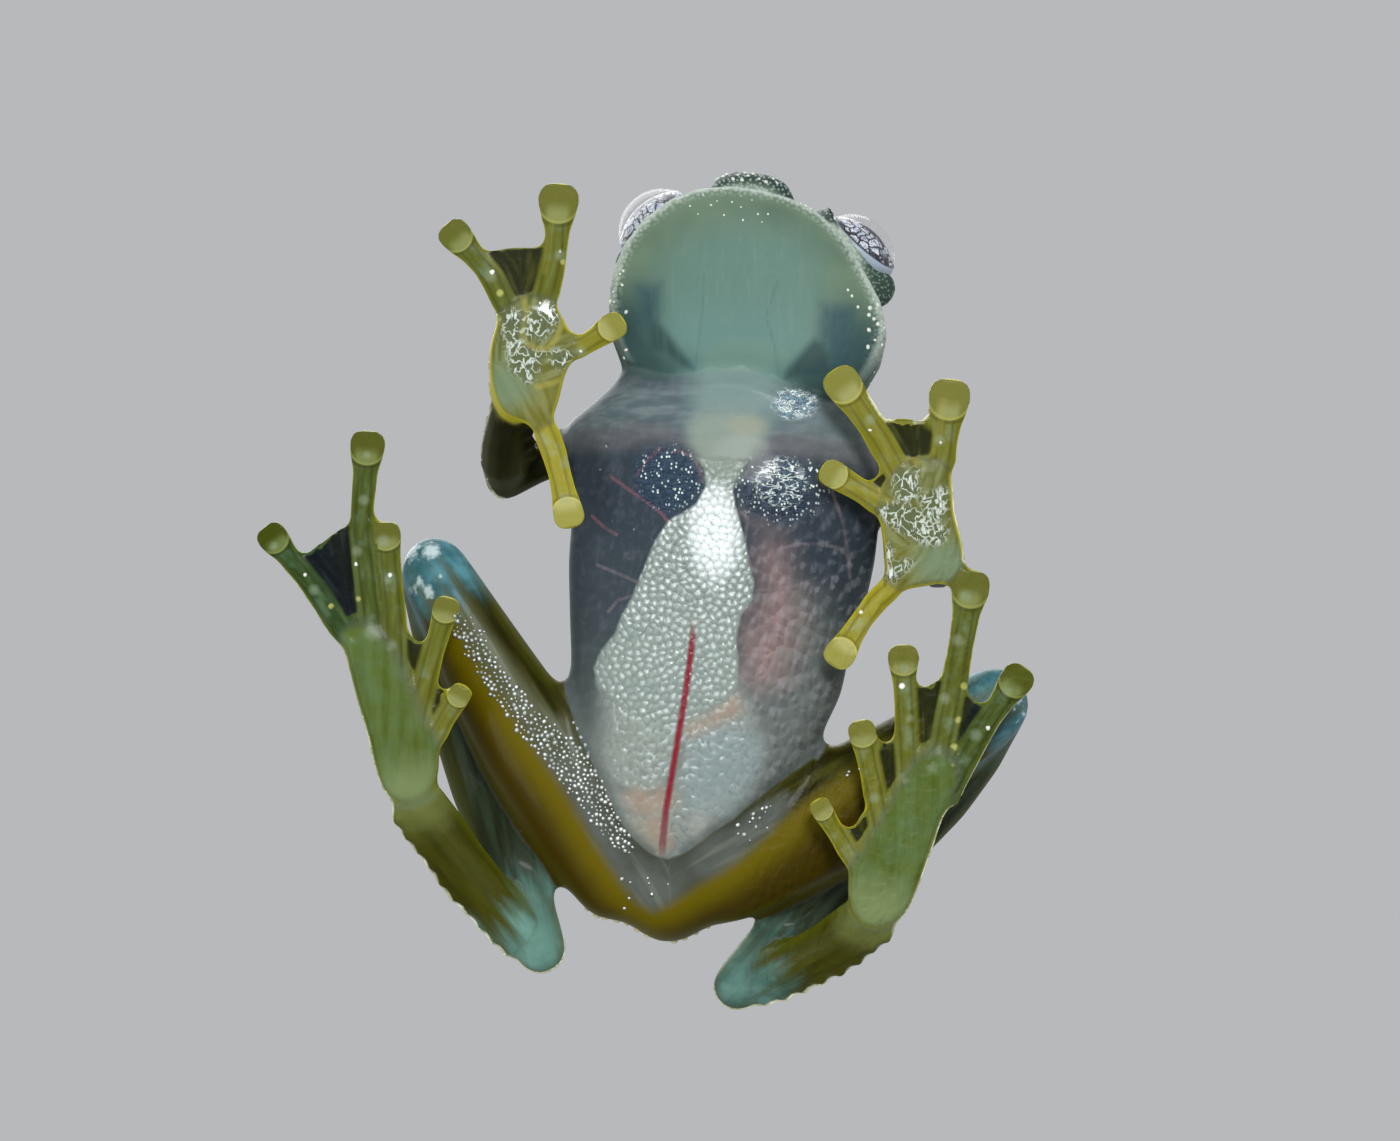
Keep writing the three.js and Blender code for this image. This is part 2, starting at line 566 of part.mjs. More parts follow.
// The head with its snout, a cheek and a lid cup behind each eye, and two nostril pits
function headBody() {
  const turn = THREE.MathUtils.degToRad(gazeTurn);
  const drop = THREE.MathUtils.degToRad(gazeDrop);
  let body = skullBody().add(snoutBody());
  [-1, 1].forEach((hand) => {
    const lidPlace = [hand * (eye.across - 0.7), -eye.ahead + 0.45, eye.above - 0.1];
    const rimPlace = [snout.across + hand * nostril.across, -nostril.ahead, nostril.above];
    body = body.add(ball(eye.radius + lidThickness, lidPlace, [16, 10]));
    body = body.add(ball(cheek.radius, [hand * cheek.across, -cheek.ahead, cheek.above], [12, 8]));
    body = body.add(ball(nostril.radius * 1.6, rimPlace, [8, 6]));
  });
  [-1, 1].forEach((hand) => {
    const eyePlace = [hand * eye.across, -eye.ahead, eye.above];
    const gaze = new THREE.Vector3(hand * Math.sin(turn), -Math.cos(turn), -Math.sin(drop)).normalize();
    const openingPlace = point(eyePlace).addScaledVector(gaze, lidOpening.out).toArray();
    const pitPlace = [snout.across + hand * nostril.across * 1.2, -nostril.ahead - 0.35, nostril.above + 0.3];
    body = body.subtract(ball(eye.radius + partGap, eyePlace, [16, 10]));
    body = body.subtract(ball(lidOpening.radius, openingPlace, [18, 12]));
    body = body.subtract(ball(nostril.radius, pitPlace, [8, 6]));
  });
  return body;
}

// The lower jaw with its lip and the soft throat, in the head's own frame
function jawBody(grow = 0) {
  const levels = [
    { z: -0.15, snout: 0.93, side: 0.94, neck: 1.0 },
    { z: -0.35, snout: 0.975, side: 0.985, neck: 1.0 },
    { z: -0.7, snout: 0.93, side: 0.95, neck: 0.98 },
    { z: -1.05, snout: 0.8, side: 0.82, neck: 0.92 },
    { z: -1.3, snout: 0.58, side: 0.6, neck: 0.75 },
    { z: -1.45, snout: 0.3, side: 0.32, neck: 0.42 },
  ];
  const rings = levels.map((level) => headRing(level.z + (level.z > -0.3 ? grow : -grow), level, grow));
  const top = new THREE.Vector3(0, 0, levels[0].z + grow);
  const under = new THREE.Vector3(0, 0, -chin - grow);
  return closedLoft(rings, top, under);
}

// The head's frame, seen from the body
const headFrame = new THREE.Group();
headFrame.position.set(...headPlace);
headFrame.rotation.set(
  THREE.MathUtils.degToRad(headPitch),
  THREE.MathUtils.degToRad(headRoll),
  THREE.MathUtils.degToRad(headYaw),
  'ZYX',
);
headFrame.updateMatrix();

// Moves a solid from the head's frame to the body's
function inBody(solid) {
  return solid.transform(headFrame.matrix.elements);
}

const frog = new THREE.Group();
frog.position.set(-bodyCentreX, -bodyCentreY, 0);
frog.add(headFrame);

// Adds one named mesh, with its own origin at the given place of its parent
function addMesh(parent, name, solid, finish, place) {
  const { vertProperties, triVerts } = largest(solid).getMesh();
  const geometry = new THREE.BufferGeometry();
  geometry.setAttribute('position', new THREE.BufferAttribute(Float32Array.from(vertProperties), 3));
  geometry.setIndex(Array.from(triVerts));
  geometry.translate(-place[0], -place[1], -place[2]);
  geometry.computeVertexNormals();
  const mesh = new THREE.Mesh(geometry, new THREE.MeshStandardMaterial(finishes[finish]));
  mesh.name = name;
  mesh.position.set(...place);
  parent.add(mesh);
}

// Head, jaw and eyes
addMesh(headFrame, 'head', headBody(), 'head', [0, 0, 0]);
addMesh(headFrame, 'lower_jaw', jawBody(), 'head', [0, 0, 0]);
[['right', -1], ['left', 1]].forEach(([side, hand]) => {
  const place = [hand * eye.across, -eye.ahead, eye.above];
  addMesh(headFrame, `eye_${side}`, ball(eye.radius, place, [16, 10]), 'eye', place);
});
const headInBody = (grow) => inBody(skullBody(grow));
const jawInBody = (grow) => inBody(jawBody(grow));

// Pelvis and limb segments, as functions of how much larger they are made
const pelvisBody = limb(pelvis.path, pelvis, 1, 4, { sides: 14, power: 2.3 });
const limbs = {};
['right', 'left'].forEach((side) => {
  const leg = legs[side];
  const arm = arms[side];
  const acrossX = new THREE.Vector3(1, 0, 0);
  limbs[side] = {
    thigh: limb([leg.hip, ...leg.thighBends, leg.knee], thigh, leg.girth, 7, { sides: 16, power: 2.2 }),
    shank: limb([leg.shankTop, ...leg.shankBends, leg.heel], shank, 1, 7, { sides: 14 }),
    tarsus: limb([leg.heel, leg.tarsusBend, leg.ankle], tarsus, 1, 5, { sides: 12, floor: 0.3 }),
    upperArm: limb([arm.shoulder, arm.armBend, arm.elbow], upperArm, 1, 4, { sides: 12 }),
    forearm: limb([arm.elbow, arm.forearmBend, arm.wrist], forearm, 1, 4, { sides: 12, turn: acrossX }),
  };
});

// Trunk, cut clear of the head and of what grows from it
const thighs = [limbs.right.thigh, limbs.left.thigh];
const trunkPlace = [trunk.centreX[8], trunk.y[8], 3.5];
addMesh(frog, 'trunk', clearOf(trunkBody(), [headInBody, jawInBody, pelvisBody, ...thighs]), 'belly', trunkPlace);
addMesh(frog, 'pelvis', pelvisBody(), 'belly', pelvis.path[1]);

['right', 'left'].forEach((side) => {
  const leg = legs[side];
  const arm = arms[side];
  const limbOf = limbs[side];
  const hand = hands[side];
  const foot = feet[side];
  const fingers = hand.digits.map(digit);
  const toes = foot.digits.map(digit);
  const palmRise = limb([arm.wrist, [...hand.middle, 0.8]], palmBack, 1, 4, { sides: 12, floor: 0 });
  const soleRise = limb([leg.ankle, [...foot.middle, 0.8]], soleBack, 1, 4, { sides: 12, floor: 0 });
  const palm = (grow = 0) => pad(hand.palm, 0, padHeight, padBevel, grow).add(palmRise(grow));
  const sole = (grow = 0) => pad(foot.sole, 0, padHeight, padBevel, grow).add(soleRise(grow));
  const upperArmSolid = clearOf(limbOf.upperArm(), [trunkBody, headInBody, jawInBody]);
  const outward = side === 'right' ? 1 : -1;
  const forearmPath = [arm.elbow, arm.forearmBend, arm.wrist];
  const tarsusPath = [leg.heel, leg.tarsusBend, leg.ankle];
  const forearmWhole = withFringe(limbOf.forearm(), forearmPath, forearm, -outward, [0.05, 0.8], 0);
  const forearmSolid = clearOf(forearmWhole, [limbOf.upperArm, palm, trunkBody]);
  const shankSolid = clearOf(limbOf.shank(), [limbOf.thigh, trunkBody]);
  const tarsusWhole = withFringe(limbOf.tarsus(), tarsusPath, tarsus, outward, [0.02, 0.95], -0.15);
  const tarsusSolid = clearOf(tarsusWhole, [limbOf.shank, limbOf.thigh, sole]);

  addMesh(frog, `upper_arm_${side}`, upperArmSolid, 'arm', arm.shoulder);
  addMesh(frog, `forearm_${side}`, forearmSolid, 'arm', arm.elbow);
  addMesh(frog, `hand_${side}`, palm(), 'foot', arm.wrist);
  webbedDigits(hand.digits, fingers, hand.webs, palm).forEach((finger, i) => {
    addMesh(frog, `finger_${i + 1}_${side}`, finger, 'disc', [...hand.digits[i].tip, 0]);
  });

  addMesh(frog, `thigh_${side}`, clearOf(limbOf.thigh(), [pelvisBody]), 'thigh', leg.hip);
  addMesh(frog, `shank_${side}`, shankSolid, 'shank', leg.shankTop);
  addMesh(frog, `tarsus_${side}`, tarsusSolid, 'shank', leg.heel);
  addMesh(frog, `foot_${side}`, sole(), 'foot', leg.ankle);
  webbedDigits(foot.digits, toes, foot.webs, sole).forEach((toe, i) => {
    addMesh(frog, `toe_${i + 1}_${side}`, toe, 'disc', [...foot.digits[i].tip, 0]);
  });
});

export default frog;
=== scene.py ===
# %% [markdown]
# # A glass frog, seen through the pane it clings to
#
# A glass frog is about 30 mm long. Its back is leaf green, but the skin of its belly has no colour at all, so
# whoever looks up at one through a window sees pearly organs, a red vein and lilac-grey muscle.
# This lesson dresses a packed set of solids as that animal, in the pose of the photograph.
# First the fixed frame is loaded. Nothing in it is moved: it only says where everything is, in metres.

import math

import bmesh
import bpy
import numpy as np
from mathutils import Matrix, Vector
from mathutils.bvhtree import BVHTree


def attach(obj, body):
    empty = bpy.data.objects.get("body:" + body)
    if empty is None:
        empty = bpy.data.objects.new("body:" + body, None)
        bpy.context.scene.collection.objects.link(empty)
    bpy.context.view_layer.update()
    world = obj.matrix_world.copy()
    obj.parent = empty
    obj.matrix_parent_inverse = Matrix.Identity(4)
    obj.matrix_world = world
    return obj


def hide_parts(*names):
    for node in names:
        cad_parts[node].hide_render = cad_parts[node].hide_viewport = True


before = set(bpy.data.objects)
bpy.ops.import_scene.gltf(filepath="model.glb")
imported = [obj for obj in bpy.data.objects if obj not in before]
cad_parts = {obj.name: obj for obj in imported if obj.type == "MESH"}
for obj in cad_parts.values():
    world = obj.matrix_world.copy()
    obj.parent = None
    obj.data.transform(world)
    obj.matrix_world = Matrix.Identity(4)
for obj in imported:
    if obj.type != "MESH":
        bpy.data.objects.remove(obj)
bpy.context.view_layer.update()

# %% [markdown]
# ## Where the camera stood
#
# The photographer looked straight up through the glass, with the snout at the top of the picture. The frog
# lies with its soles on a pane at height 0, so the camera hangs 200 mm below that pane and looks up. One
# millimetre of the pane takes 25 pixels of a picture 1400 wide, and what is further from the pane looks
# smaller. `picture_place` says at which pixel of the photograph a point of the frog appears. Most marks on
# the skin are measured in the photograph, and this is how they find their place on the body.

# %% The camera
MM = 0.001
PICTURE_WIDTH, PICTURE_HEIGHT = 1400, 1141
PIXELS_PER_MM = 25
EYE = Vector((2.09, -0.84, -200.0))  # where the camera stands, in millimetres

camera_data = bpy.data.cameras.new("camera")
camera_data.sensor_width = 36
camera_data.lens = camera_data.sensor_width * -EYE.z * PIXELS_PER_MM / PICTURE_WIDTH
camera_data.clip_start, camera_data.clip_end = 0.01, 5
camera = bpy.data.objects.new("camera", camera_data)
camera.location = EYE * MM
camera.rotation_euler = (math.pi, 0, 0)
bpy.context.scene.collection.objects.link(camera)
bpy.context.scene.camera = camera


def picture_place(points):
    """The pixel of the photograph at which each point, in millimetres, appears."""
    away = (points[:, 2] - EYE.z) / -EYE.z
    across = PICTURE_WIDTH / 2 + (points[:, 0] - EYE.x) * PIXELS_PER_MM / away
    down = PICTURE_HEIGHT / 2 + (points[:, 1] - EYE.y) * PIXELS_PER_MM / away
    return np.stack([across, down], 1)


print("lens", round(camera_data.lens, 1), "mm, camera", list(EYE), "mm")

# %% [markdown]
# ## One skin over the solids
#
# The frame's flesh is 36 separate solids with 0.3 mm between neighbours. A real frog has one skin. Joining
# the solids with Booleans would leave the gaps, and sculpting a new body would lose their fit. So the
# solids are swelled by a little more than half the gap, melted into one surface with a voxel remesh, and
# the surface is drawn back by the same amount. Gaps close, and creases where two limbs touch stay. All of
# this is done in millimetres on a bench, because remeshing is happier with sizes near 1.

# %% Closing the gaps
GAP_SHARE = 0.17  # millimetres that each solid swells, a little over half of the gap
MOST_AT_CORNERS = 1.3  # a sharp corner swells by no more than this many shares, or it would grow a spike
SAME_PLACE = 0.002  # corners closer than this are one
VOXEL = 0.125
FLESH = [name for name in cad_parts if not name.startswith("eye_")]


def bench_mesh(names):
    """The named solids as one welded mesh in millimetres, with the solid that each face came from."""
    mesh = bmesh.new()
    owners = []
    for index, name in enumerate(names):
        mesh.from_mesh(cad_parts[name].data)
        owners += [index] * (len(mesh.faces) - len(owners))
    bmesh.ops.scale(mesh, vec=(1 / MM,) * 3, verts=mesh.verts)
    layer = mesh.faces.layers.int.new("owner")
    mesh.faces.ensure_lookup_table()
    for face, owner in zip(mesh.faces, owners):
        face[layer] = owner
    bmesh.ops.remove_doubles(mesh, verts=mesh.verts, dist=SAME_PLACE)
    mesh.normal_update()
    return mesh, layer


def new_object(name, mesh):
    thing = bpy.data.objects.new(name, mesh)
    bpy.context.scene.collection.objects.link(thing)
    return thing


def made_plain(thing):
    """Turns an object with modifiers into a plain mesh with none."""
    graph = bpy.context.evaluated_depsgraph_get()
    plain = bpy.data.meshes.new_from_object(thing.evaluated_get(graph))
    thing.modifiers.clear()
    thing.data = plain
    return plain


print("solids of the flesh:", len(FLESH))

# %% The melted skin
flesh, owner_layer = bench_mesh(FLESH)
flesh_tree = BVHTree.FromBMesh(flesh)
face_owner = np.array([face[owner_layer] for face in flesh.faces])
for vertex in flesh.verts:
    vertex.co += vertex.normal * GAP_SHARE * min(vertex.calc_shell_factor(), MOST_AT_CORNERS)
skin_mesh = bpy.data.meshes.new("skin")
flesh.to_mesh(skin_mesh)
flesh.free()
skin = new_object("skin", skin_mesh)
remesh = skin.modifiers.new("melt", "REMESH")
remesh.mode = "VOXEL"
remesh.voxel_size = VOXEL
skin_mesh = made_plain(skin)
print("melted skin:", len(skin_mesh.vertices), "corners,", len(skin_mesh.polygons), "faces")

# %% [markdown]
# ## Working on the corners
#
# From here on most of the modelling is arithmetic on the skin's corners, all at once, with numpy.
# The tool used most is averaging with the neighbours: on places it smooths, on any other number it blends.
# Averaging also shrinks thin parts a little, so after smoothing the skin takes a short step back.

# %% Corners and their neighbours
def corners_of(mesh):
    values = np.empty(len(mesh.vertices) * 3, np.float32)
    mesh.vertices.foreach_get("co", values)
    return values.reshape(-1, 3).astype(float)


def normals_of(mesh):
    values = np.empty(len(mesh.vertices) * 3, np.float32)
    mesh.vertex_normals.foreach_get("vector", values)
    return values.reshape(-1, 3).astype(float)


def put_corners(mesh, corners):
    mesh.vertices.foreach_set("co", corners.astype(np.float32).ravel())
    mesh.update()


def links_of(mesh):
    """The two ends of every edge, and how many neighbours each corner has."""
    edges = np.empty(len(mesh.edges) * 2, np.int32)
    mesh.edges.foreach_get("vertices", edges)
    count = np.bincount(edges, minlength=len(mesh.vertices)).astype(float)
    return edges[0::2], edges[1::2], np.maximum(count, 1)


def spread(links, values, rounds, pull=0.5):
    """Averages a value, or a row of values, with the neighbouring corners' several times over."""
    first, second, count = links
    columns = values.astype(float).reshape(len(count), -1).T.copy()
    for _ in range(rounds):
        for column in columns:
            total = np.bincount(first, column[second], len(count))
            total = total + np.bincount(second, column[first], len(count))
            column += pull * (total / count - column)
    return columns.T.reshape(values.shape)


STEP_BACK = -0.25

links = links_of(skin_mesh)
corners = spread(links, corners_of(skin_mesh), 2)
put_corners(skin_mesh, corners)
corners = corners - normals_of(skin_mesh) * GAP_SHARE
corners = spread(links, corners, 3)
corners = spread(links, corners, 1, STEP_BACK)
put_corners(skin_mesh, corners)
print("drawn back, box in mm:", corners.min(0).round(2), corners.max(0).round(2))

# %% [markdown]
# ## What belongs to which part of the body
#
# The skin's colour changes from part to part without an edge. Each corner of the skin looks up the nearest
# solid of the frame, and the answer is spread over its neighbours, which gives soft weights between 0 and
# 1.

# %% Weights of the body's parts
PARTS = {
    "head": ["head", "lower_jaw"],
    "trunk": ["trunk", "pelvis"],
    "arm": ["upper_arm_", "forearm_"],
    "thigh": ["thigh_"],
    "shank": ["shank_"],
    "tarsus": ["tarsus_"],
    "hand": ["hand_"],
    "foot": ["foot_"],
    "finger": ["finger_"],
    "toe": ["toe_"],
}


def part_weights(corners, links, rounds=5):
    nearest = np.array([face_owner[flesh_tree.find_nearest(Vector(corner))[2]] for corner in corners])
    found = {}
    for part, starts in PARTS.items():
        members = [i for i, name in enumerate(FLESH) if any(name.startswith(start) for start in starts)]
        found[part] = spread(links, np.isin(nearest, members).astype(float), rounds)
    return found


weights = part_weights(corners, links)
print({part: round(float(weight.mean()), 3) for part, weight in weights.items()})

# %% [markdown]
# ## Softening where solids met
#
# A palm, a sole, the throat and the seat between the thighs are built from several solids, whose edges
# still show as steps. On the animal they run into each other. The solids of the trunk and the legs also
# have flat facets, each of which would mirror a lamp whole. Averaging takes steps and facets away, but it
# would also thin a finger. So the rounds of averaging are many only where a weight says so.

# %% Palms, soles, throat and seat
SEAT = np.array([0.9, 12.2, 3.6])
SEAT_REACH = 3.4
THROAT_HEIGHT = 3.4  # the throat is softened below this height
BODY_ROUNDS, PALM_ROUNDS, THROAT_ROUNDS, SEAT_ROUNDS = 70, 14, 160, 60


def soften(corners, share, rounds):
    return corners + share[:, None] * (spread(links, corners, rounds) - corners)


seat = np.clip(1.6 - np.linalg.norm(corners - SEAT, axis=1) / SEAT_REACH, 0, 1)
undersides = np.clip((-normals_of(skin_mesh)[:, 2] - 0.7) / 0.15, 0, 1)
under_head = weights["head"] * spread(links, undersides, 10)
rounded = weights["trunk"] + weights["thigh"] + 0.8 * weights["shank"] + under_head
corners = soften(corners, np.clip(rounded, 0, 1), BODY_ROUNDS)
flat_parts = np.clip((weights["hand"] + weights["foot"]) * 1.2, 0, 1)
meeting = spread(links, weights["head"], 25) * spread(links, weights["trunk"], 25)
under_throat = np.clip(meeting * 7, 0, 1) * np.clip((THROAT_HEIGHT - corners[:, 2]) / 0.8, 0, 1)
corners = soften(corners, flat_parts * 0.9, PALM_ROUNDS)
corners = soften(corners, under_throat, THROAT_ROUNDS)
corners = soften(corners, seat, SEAT_ROUNDS)
corners[:, 2] = np.maximum(corners[:, 2], 0)
put_corners(skin_mesh, corners)
softened = {"palms and soles": flat_parts, "throat": under_throat, "seat": seat}
print("softened corners:", {name: int((share > 0.5).sum()) for name, share in softened.items()})

# %% [markdown]
# ## Fewer faces where nothing happens
#
# The back and the sides of the limbs are smooth and need few faces, while the underside carries all the
# marks. Decimate takes a vertex group: corners outside it keep their faces. So the group holds everything
# but the undersides, and the skin comes down to less than 200,000 triangles without losing what matters.

# %% Thinning the mesh
THINNED = 0.43  # the share of the faces that stays
FACING_DOWN, NOT_FACING_UP = -0.25, 0.2  # upper limits of a normal's height

normals = normals_of(skin_mesh)
on_belly = (weights["trunk"] + weights["head"] > 0.5) & (normals[:, 2] < FACING_DOWN)
on_digits = (weights["finger"] + weights["toe"] + weights["hand"] > 0.5) & (normals[:, 2] < NOT_FACING_UP)
may_thin = np.flatnonzero(~(on_belly | on_digits))
group = skin.vertex_groups.new(name="may_thin")
group.add(may_thin.tolist(), 1.0, "REPLACE")
thin = skin.modifiers.new("thin", "DECIMATE")
thin.ratio = THINNED
thin.vertex_group = group.name
skin_mesh = made_plain(skin)
skin.vertex_groups.clear()
print("thinned to", len(skin_mesh.polygons), "triangles")

# %% [markdown]
# ## Beads of the belly
#
# The white sheet under the belly is a pavement of round beads, a third of a millimetre apart, and each one
# catches the light. A bump in the material would do from afar, but the beads also have to stand out when
# seen from the side. So the faces there are cut in four, and each corner is lifted the more, the nearer it
# is to a bead's middle. The middles come from a loose grid that is evened out once, as soap bubbles even
# out: each one moves towards the middle of the places that are nearest to it.

# %% Where the pearly sheet lies
BELLY_TOP = 4  # nothing higher than this belongs to the belly
PEARLY = [(748, 462), (739, 476), (734, 491), (735, 505), (741, 523), (747, 546), (750, 564), (755, 582),
    (753, 600), (741, 616), (737, 640), (740, 665), (737, 688), (728, 700), (712, 711), (690, 722),
    (665, 727), (635, 716), (608, 698), (595, 686), (593, 668), (601, 649), (615, 633), (621, 614),
    (633, 593), (639, 577), (645, 564), (651, 548), (660, 532), (669, 521), (683, 512), (696, 503),
    (705, 487), (704, 471), (697, 458)]


def line_distance(places, line, closed=False):
    """Distance in millimetres from a chain of pixels, and how far along it the nearest point is, 0 to 1."""
    chain = np.array(line + line[:1] if closed else line, float)
    best = np.full(len(places), 1e9)
    along = np.zeros(len(places))
    lengths = np.linalg.norm(np.diff(chain, axis=0), axis=1)
    run = np.concatenate([[0], np.cumsum(lengths)])
    for i, (a, b) in enumerate(zip(chain[:-1], chain[1:])):
        share = np.clip((places - a) @ (b - a) / lengths[i] ** 2, 0, 1)
        far = np.linalg.norm(places - (a + share[:, None] * (b - a)), axis=1)
        closer = far < best
        best[closer] = far[closer]
        along[closer] = (run[i] + share[closer] * lengths[i]) / run[-1]
    return best / PIXELS_PER_MM, along


def outline_distance(places, outline):
    """Distance in millimetres from an outline of pixels: above 0 inside it, below 0 outside."""
    far, _ = line_distance(places, outline, closed=True)
    inside = np.zeros(len(places), bool)
    x, y = places.T
    for (ax, ay), (bx, by) in zip(outline, outline[1:] + outline[:1]):
        if ay != by:
            inside ^= ((ay > y) != (by > y)) & (x < ax + (bx - ax) * (y - ay) / (by - ay))
    return np.where(inside, far, -far)


def cut_finer(mesh, chosen):
    """Cuts every triangle whose three corners are chosen in four."""
    shape = bmesh.new()
    shape.from_mesh(mesh)
    shape.verts.ensure_lookup_table()
    for vertex in shape.verts:
        vertex.tag = bool(chosen[vertex.index])
    cut = [edge for edge in shape.edges if edge.verts[0].tag and edge.verts[1].tag]
    bmesh.ops.subdivide_edges(shape, edges=cut, cuts=1, use_grid_fill=True)
    bmesh.ops.triangulate(shape, faces=shape.faces)
    shape.to_mesh(mesh)
    shape.free()


corners, normals = corners_of(skin_mesh), normals_of(skin_mesh)
beaded = outline_distance(picture_place(corners), PEARLY) > -0.15
beaded = beaded & (normals[:, 2] < -0.3) & (corners[:, 2] < BELLY_TOP)
cut_finer(skin_mesh, beaded)
print("after cutting the beaded part finer:", len(skin_mesh.polygons), "triangles")

# %% Where each bead lies
BEAD_SPACING = 0.33
BEAD_HEIGHT = 0.12
SHEET_RISE = 0.03  # how far the whole sheet stands out under the beads
ROW_SPACING = 0.87  # of the spacing, as in a honeycomb
LOOSE = 0.42  # of the spacing, how far a bead may stray
EVENED = 0.6  # of the way to the middle of its own places
SAMPLES = 14000
LOWER_ORGANS = [(604, 690), (598, 735), (597, 760), (604, 782), (617, 812), (633, 838), (650, 855),
    (664, 862), (690, 848), (712, 831), (735, 815), (752, 790), (764, 760), (758, 735), (748, 705),
    (738, 690), (690, 700)]

links = links_of(skin_mesh)
corners = corners_of(skin_mesh)
places = picture_place(corners)
rng = np.random.default_rng(7)
sheet_outlines = np.array(PEARLY + LOWER_ORGANS) / PIXELS_PER_MM
low, high = sheet_outlines.min(0) - 0.5, sheet_outlines.max(0) + 0.5
rows = np.arange(low[1], high[1], BEAD_SPACING * ROW_SPACING)
beads = np.array([(x + (i % 2) * BEAD_SPACING / 2, y) for i, y in enumerate(rows)
    for x in np.arange(low[0], high[0], BEAD_SPACING)])
beads += rng.uniform(-LOOSE, LOOSE, beads.shape) * BEAD_SPACING
samples = rng.uniform(low, high, (SAMPLES, 2))
owner = np.argmin(np.linalg.norm(samples[:, None] - beads[None], axis=2), axis=1)
for index in range(len(beads)):
    own = samples[owner == index]
    if len(own):
        beads[index] += EVENED * (own.mean(0) - beads[index])
print(len(beads), "beads laid out")

# %% Lifting the beads
pearly_inside = outline_distance(places, PEARLY)
organs_inside = outline_distance(places, LOWER_ORGANS)
underside = np.clip(-normals_of(skin_mesh)[:, 2] * 3, 0, 1) * (corners[:, 2] < BELLY_TOP)
near = np.flatnonzero((np.maximum(pearly_inside, organs_inside) > -0.3) & (underside > 0))
all_far = np.linalg.norm(places[near, None] / PIXELS_PER_MM - beads[None], axis=2)
far = np.sort(all_far, axis=1)[:, :2]
tone = np.zeros(len(corners))
tone[near] = rng.uniform(-1, 1, len(beads))[all_far.argmin(1)]
nearness = np.ones(len(corners))
nearness[near] = far[:, 0] / far[:, 1]  # 0 in a bead's middle, 1 halfway to the next
dome = (1 - nearness ** 2) * (1 + 0.3 * tone)
pearly_share, organ_share = np.clip(pearly_inside / 0.25 + 0.3, 0, 1), np.clip(organs_inside / 0.5, 0, 1)
sheet = np.maximum(pearly_share, 0.6 * organ_share) * underside
lower = np.clip((places[:, 1] - 560) / 150, 0, 1)
lift = sheet * (BEAD_HEIGHT * (1 - 0.35 * lower) * dome + SHEET_RISE)
corners[near, 2] -= lift[near]
put_corners(skin_mesh, corners)
skin_mesh.polygons.foreach_set("use_smooth", [True] * len(skin_mesh.polygons))
print("highest bead:", round(float(lift[near].max()), 3), "mm")

# %% [markdown]
# ## Marks on the underside
#
# What shows through the belly was measured in the photograph, as outlines and lines of a few pixels'
# places. Painting an image would tie the frog to a file, and drawing every mark with shader nodes would
# take hundreds. Here each mark becomes one number per corner of the skin: the distance from the mark, in
# millimetres. A distance blends evenly across a face, so the material can cut it anywhere and gets a clean
# edge, or bend it with noise and gets a natural one.

# %% Numbers kept on the skin
PART_ROUNDS = 7
WIDE_ROUNDS = 12  # hands, feet and digits run further into each other

corners = corners_of(skin_mesh)
places = picture_place(corners)
normals = normals_of(skin_mesh)
weights = part_weights(corners, links, PART_ROUNDS)


def keep_on_skin(name, values):
    """Stores one number for each corner of the skin, for the material to read."""
    attribute = skin_mesh.attributes.new(name, "FLOAT", "POINT")
    attribute.data.foreach_set("value", values.astype(np.float32))


for part, weight in weights.items():
    keep_on_skin("part_" + part, weight)
digit_weight = weights["finger"] + weights["toe"]
for part, weight in {"hand": weights["hand"], "foot": weights["foot"], "digit": digit_weight}.items():
    keep_on_skin("wide_" + part, spread(links, weight, WIDE_ROUNDS))
for name, values in {"in_pearly": pearly_inside, "in_organs": organs_inside, "bead": 1 - nearness,
        "bead_tone": tone}.items():
    keep_on_skin(name, values)
print("numbers kept for the parts and the beads:", len(weights) + 3 + 4)

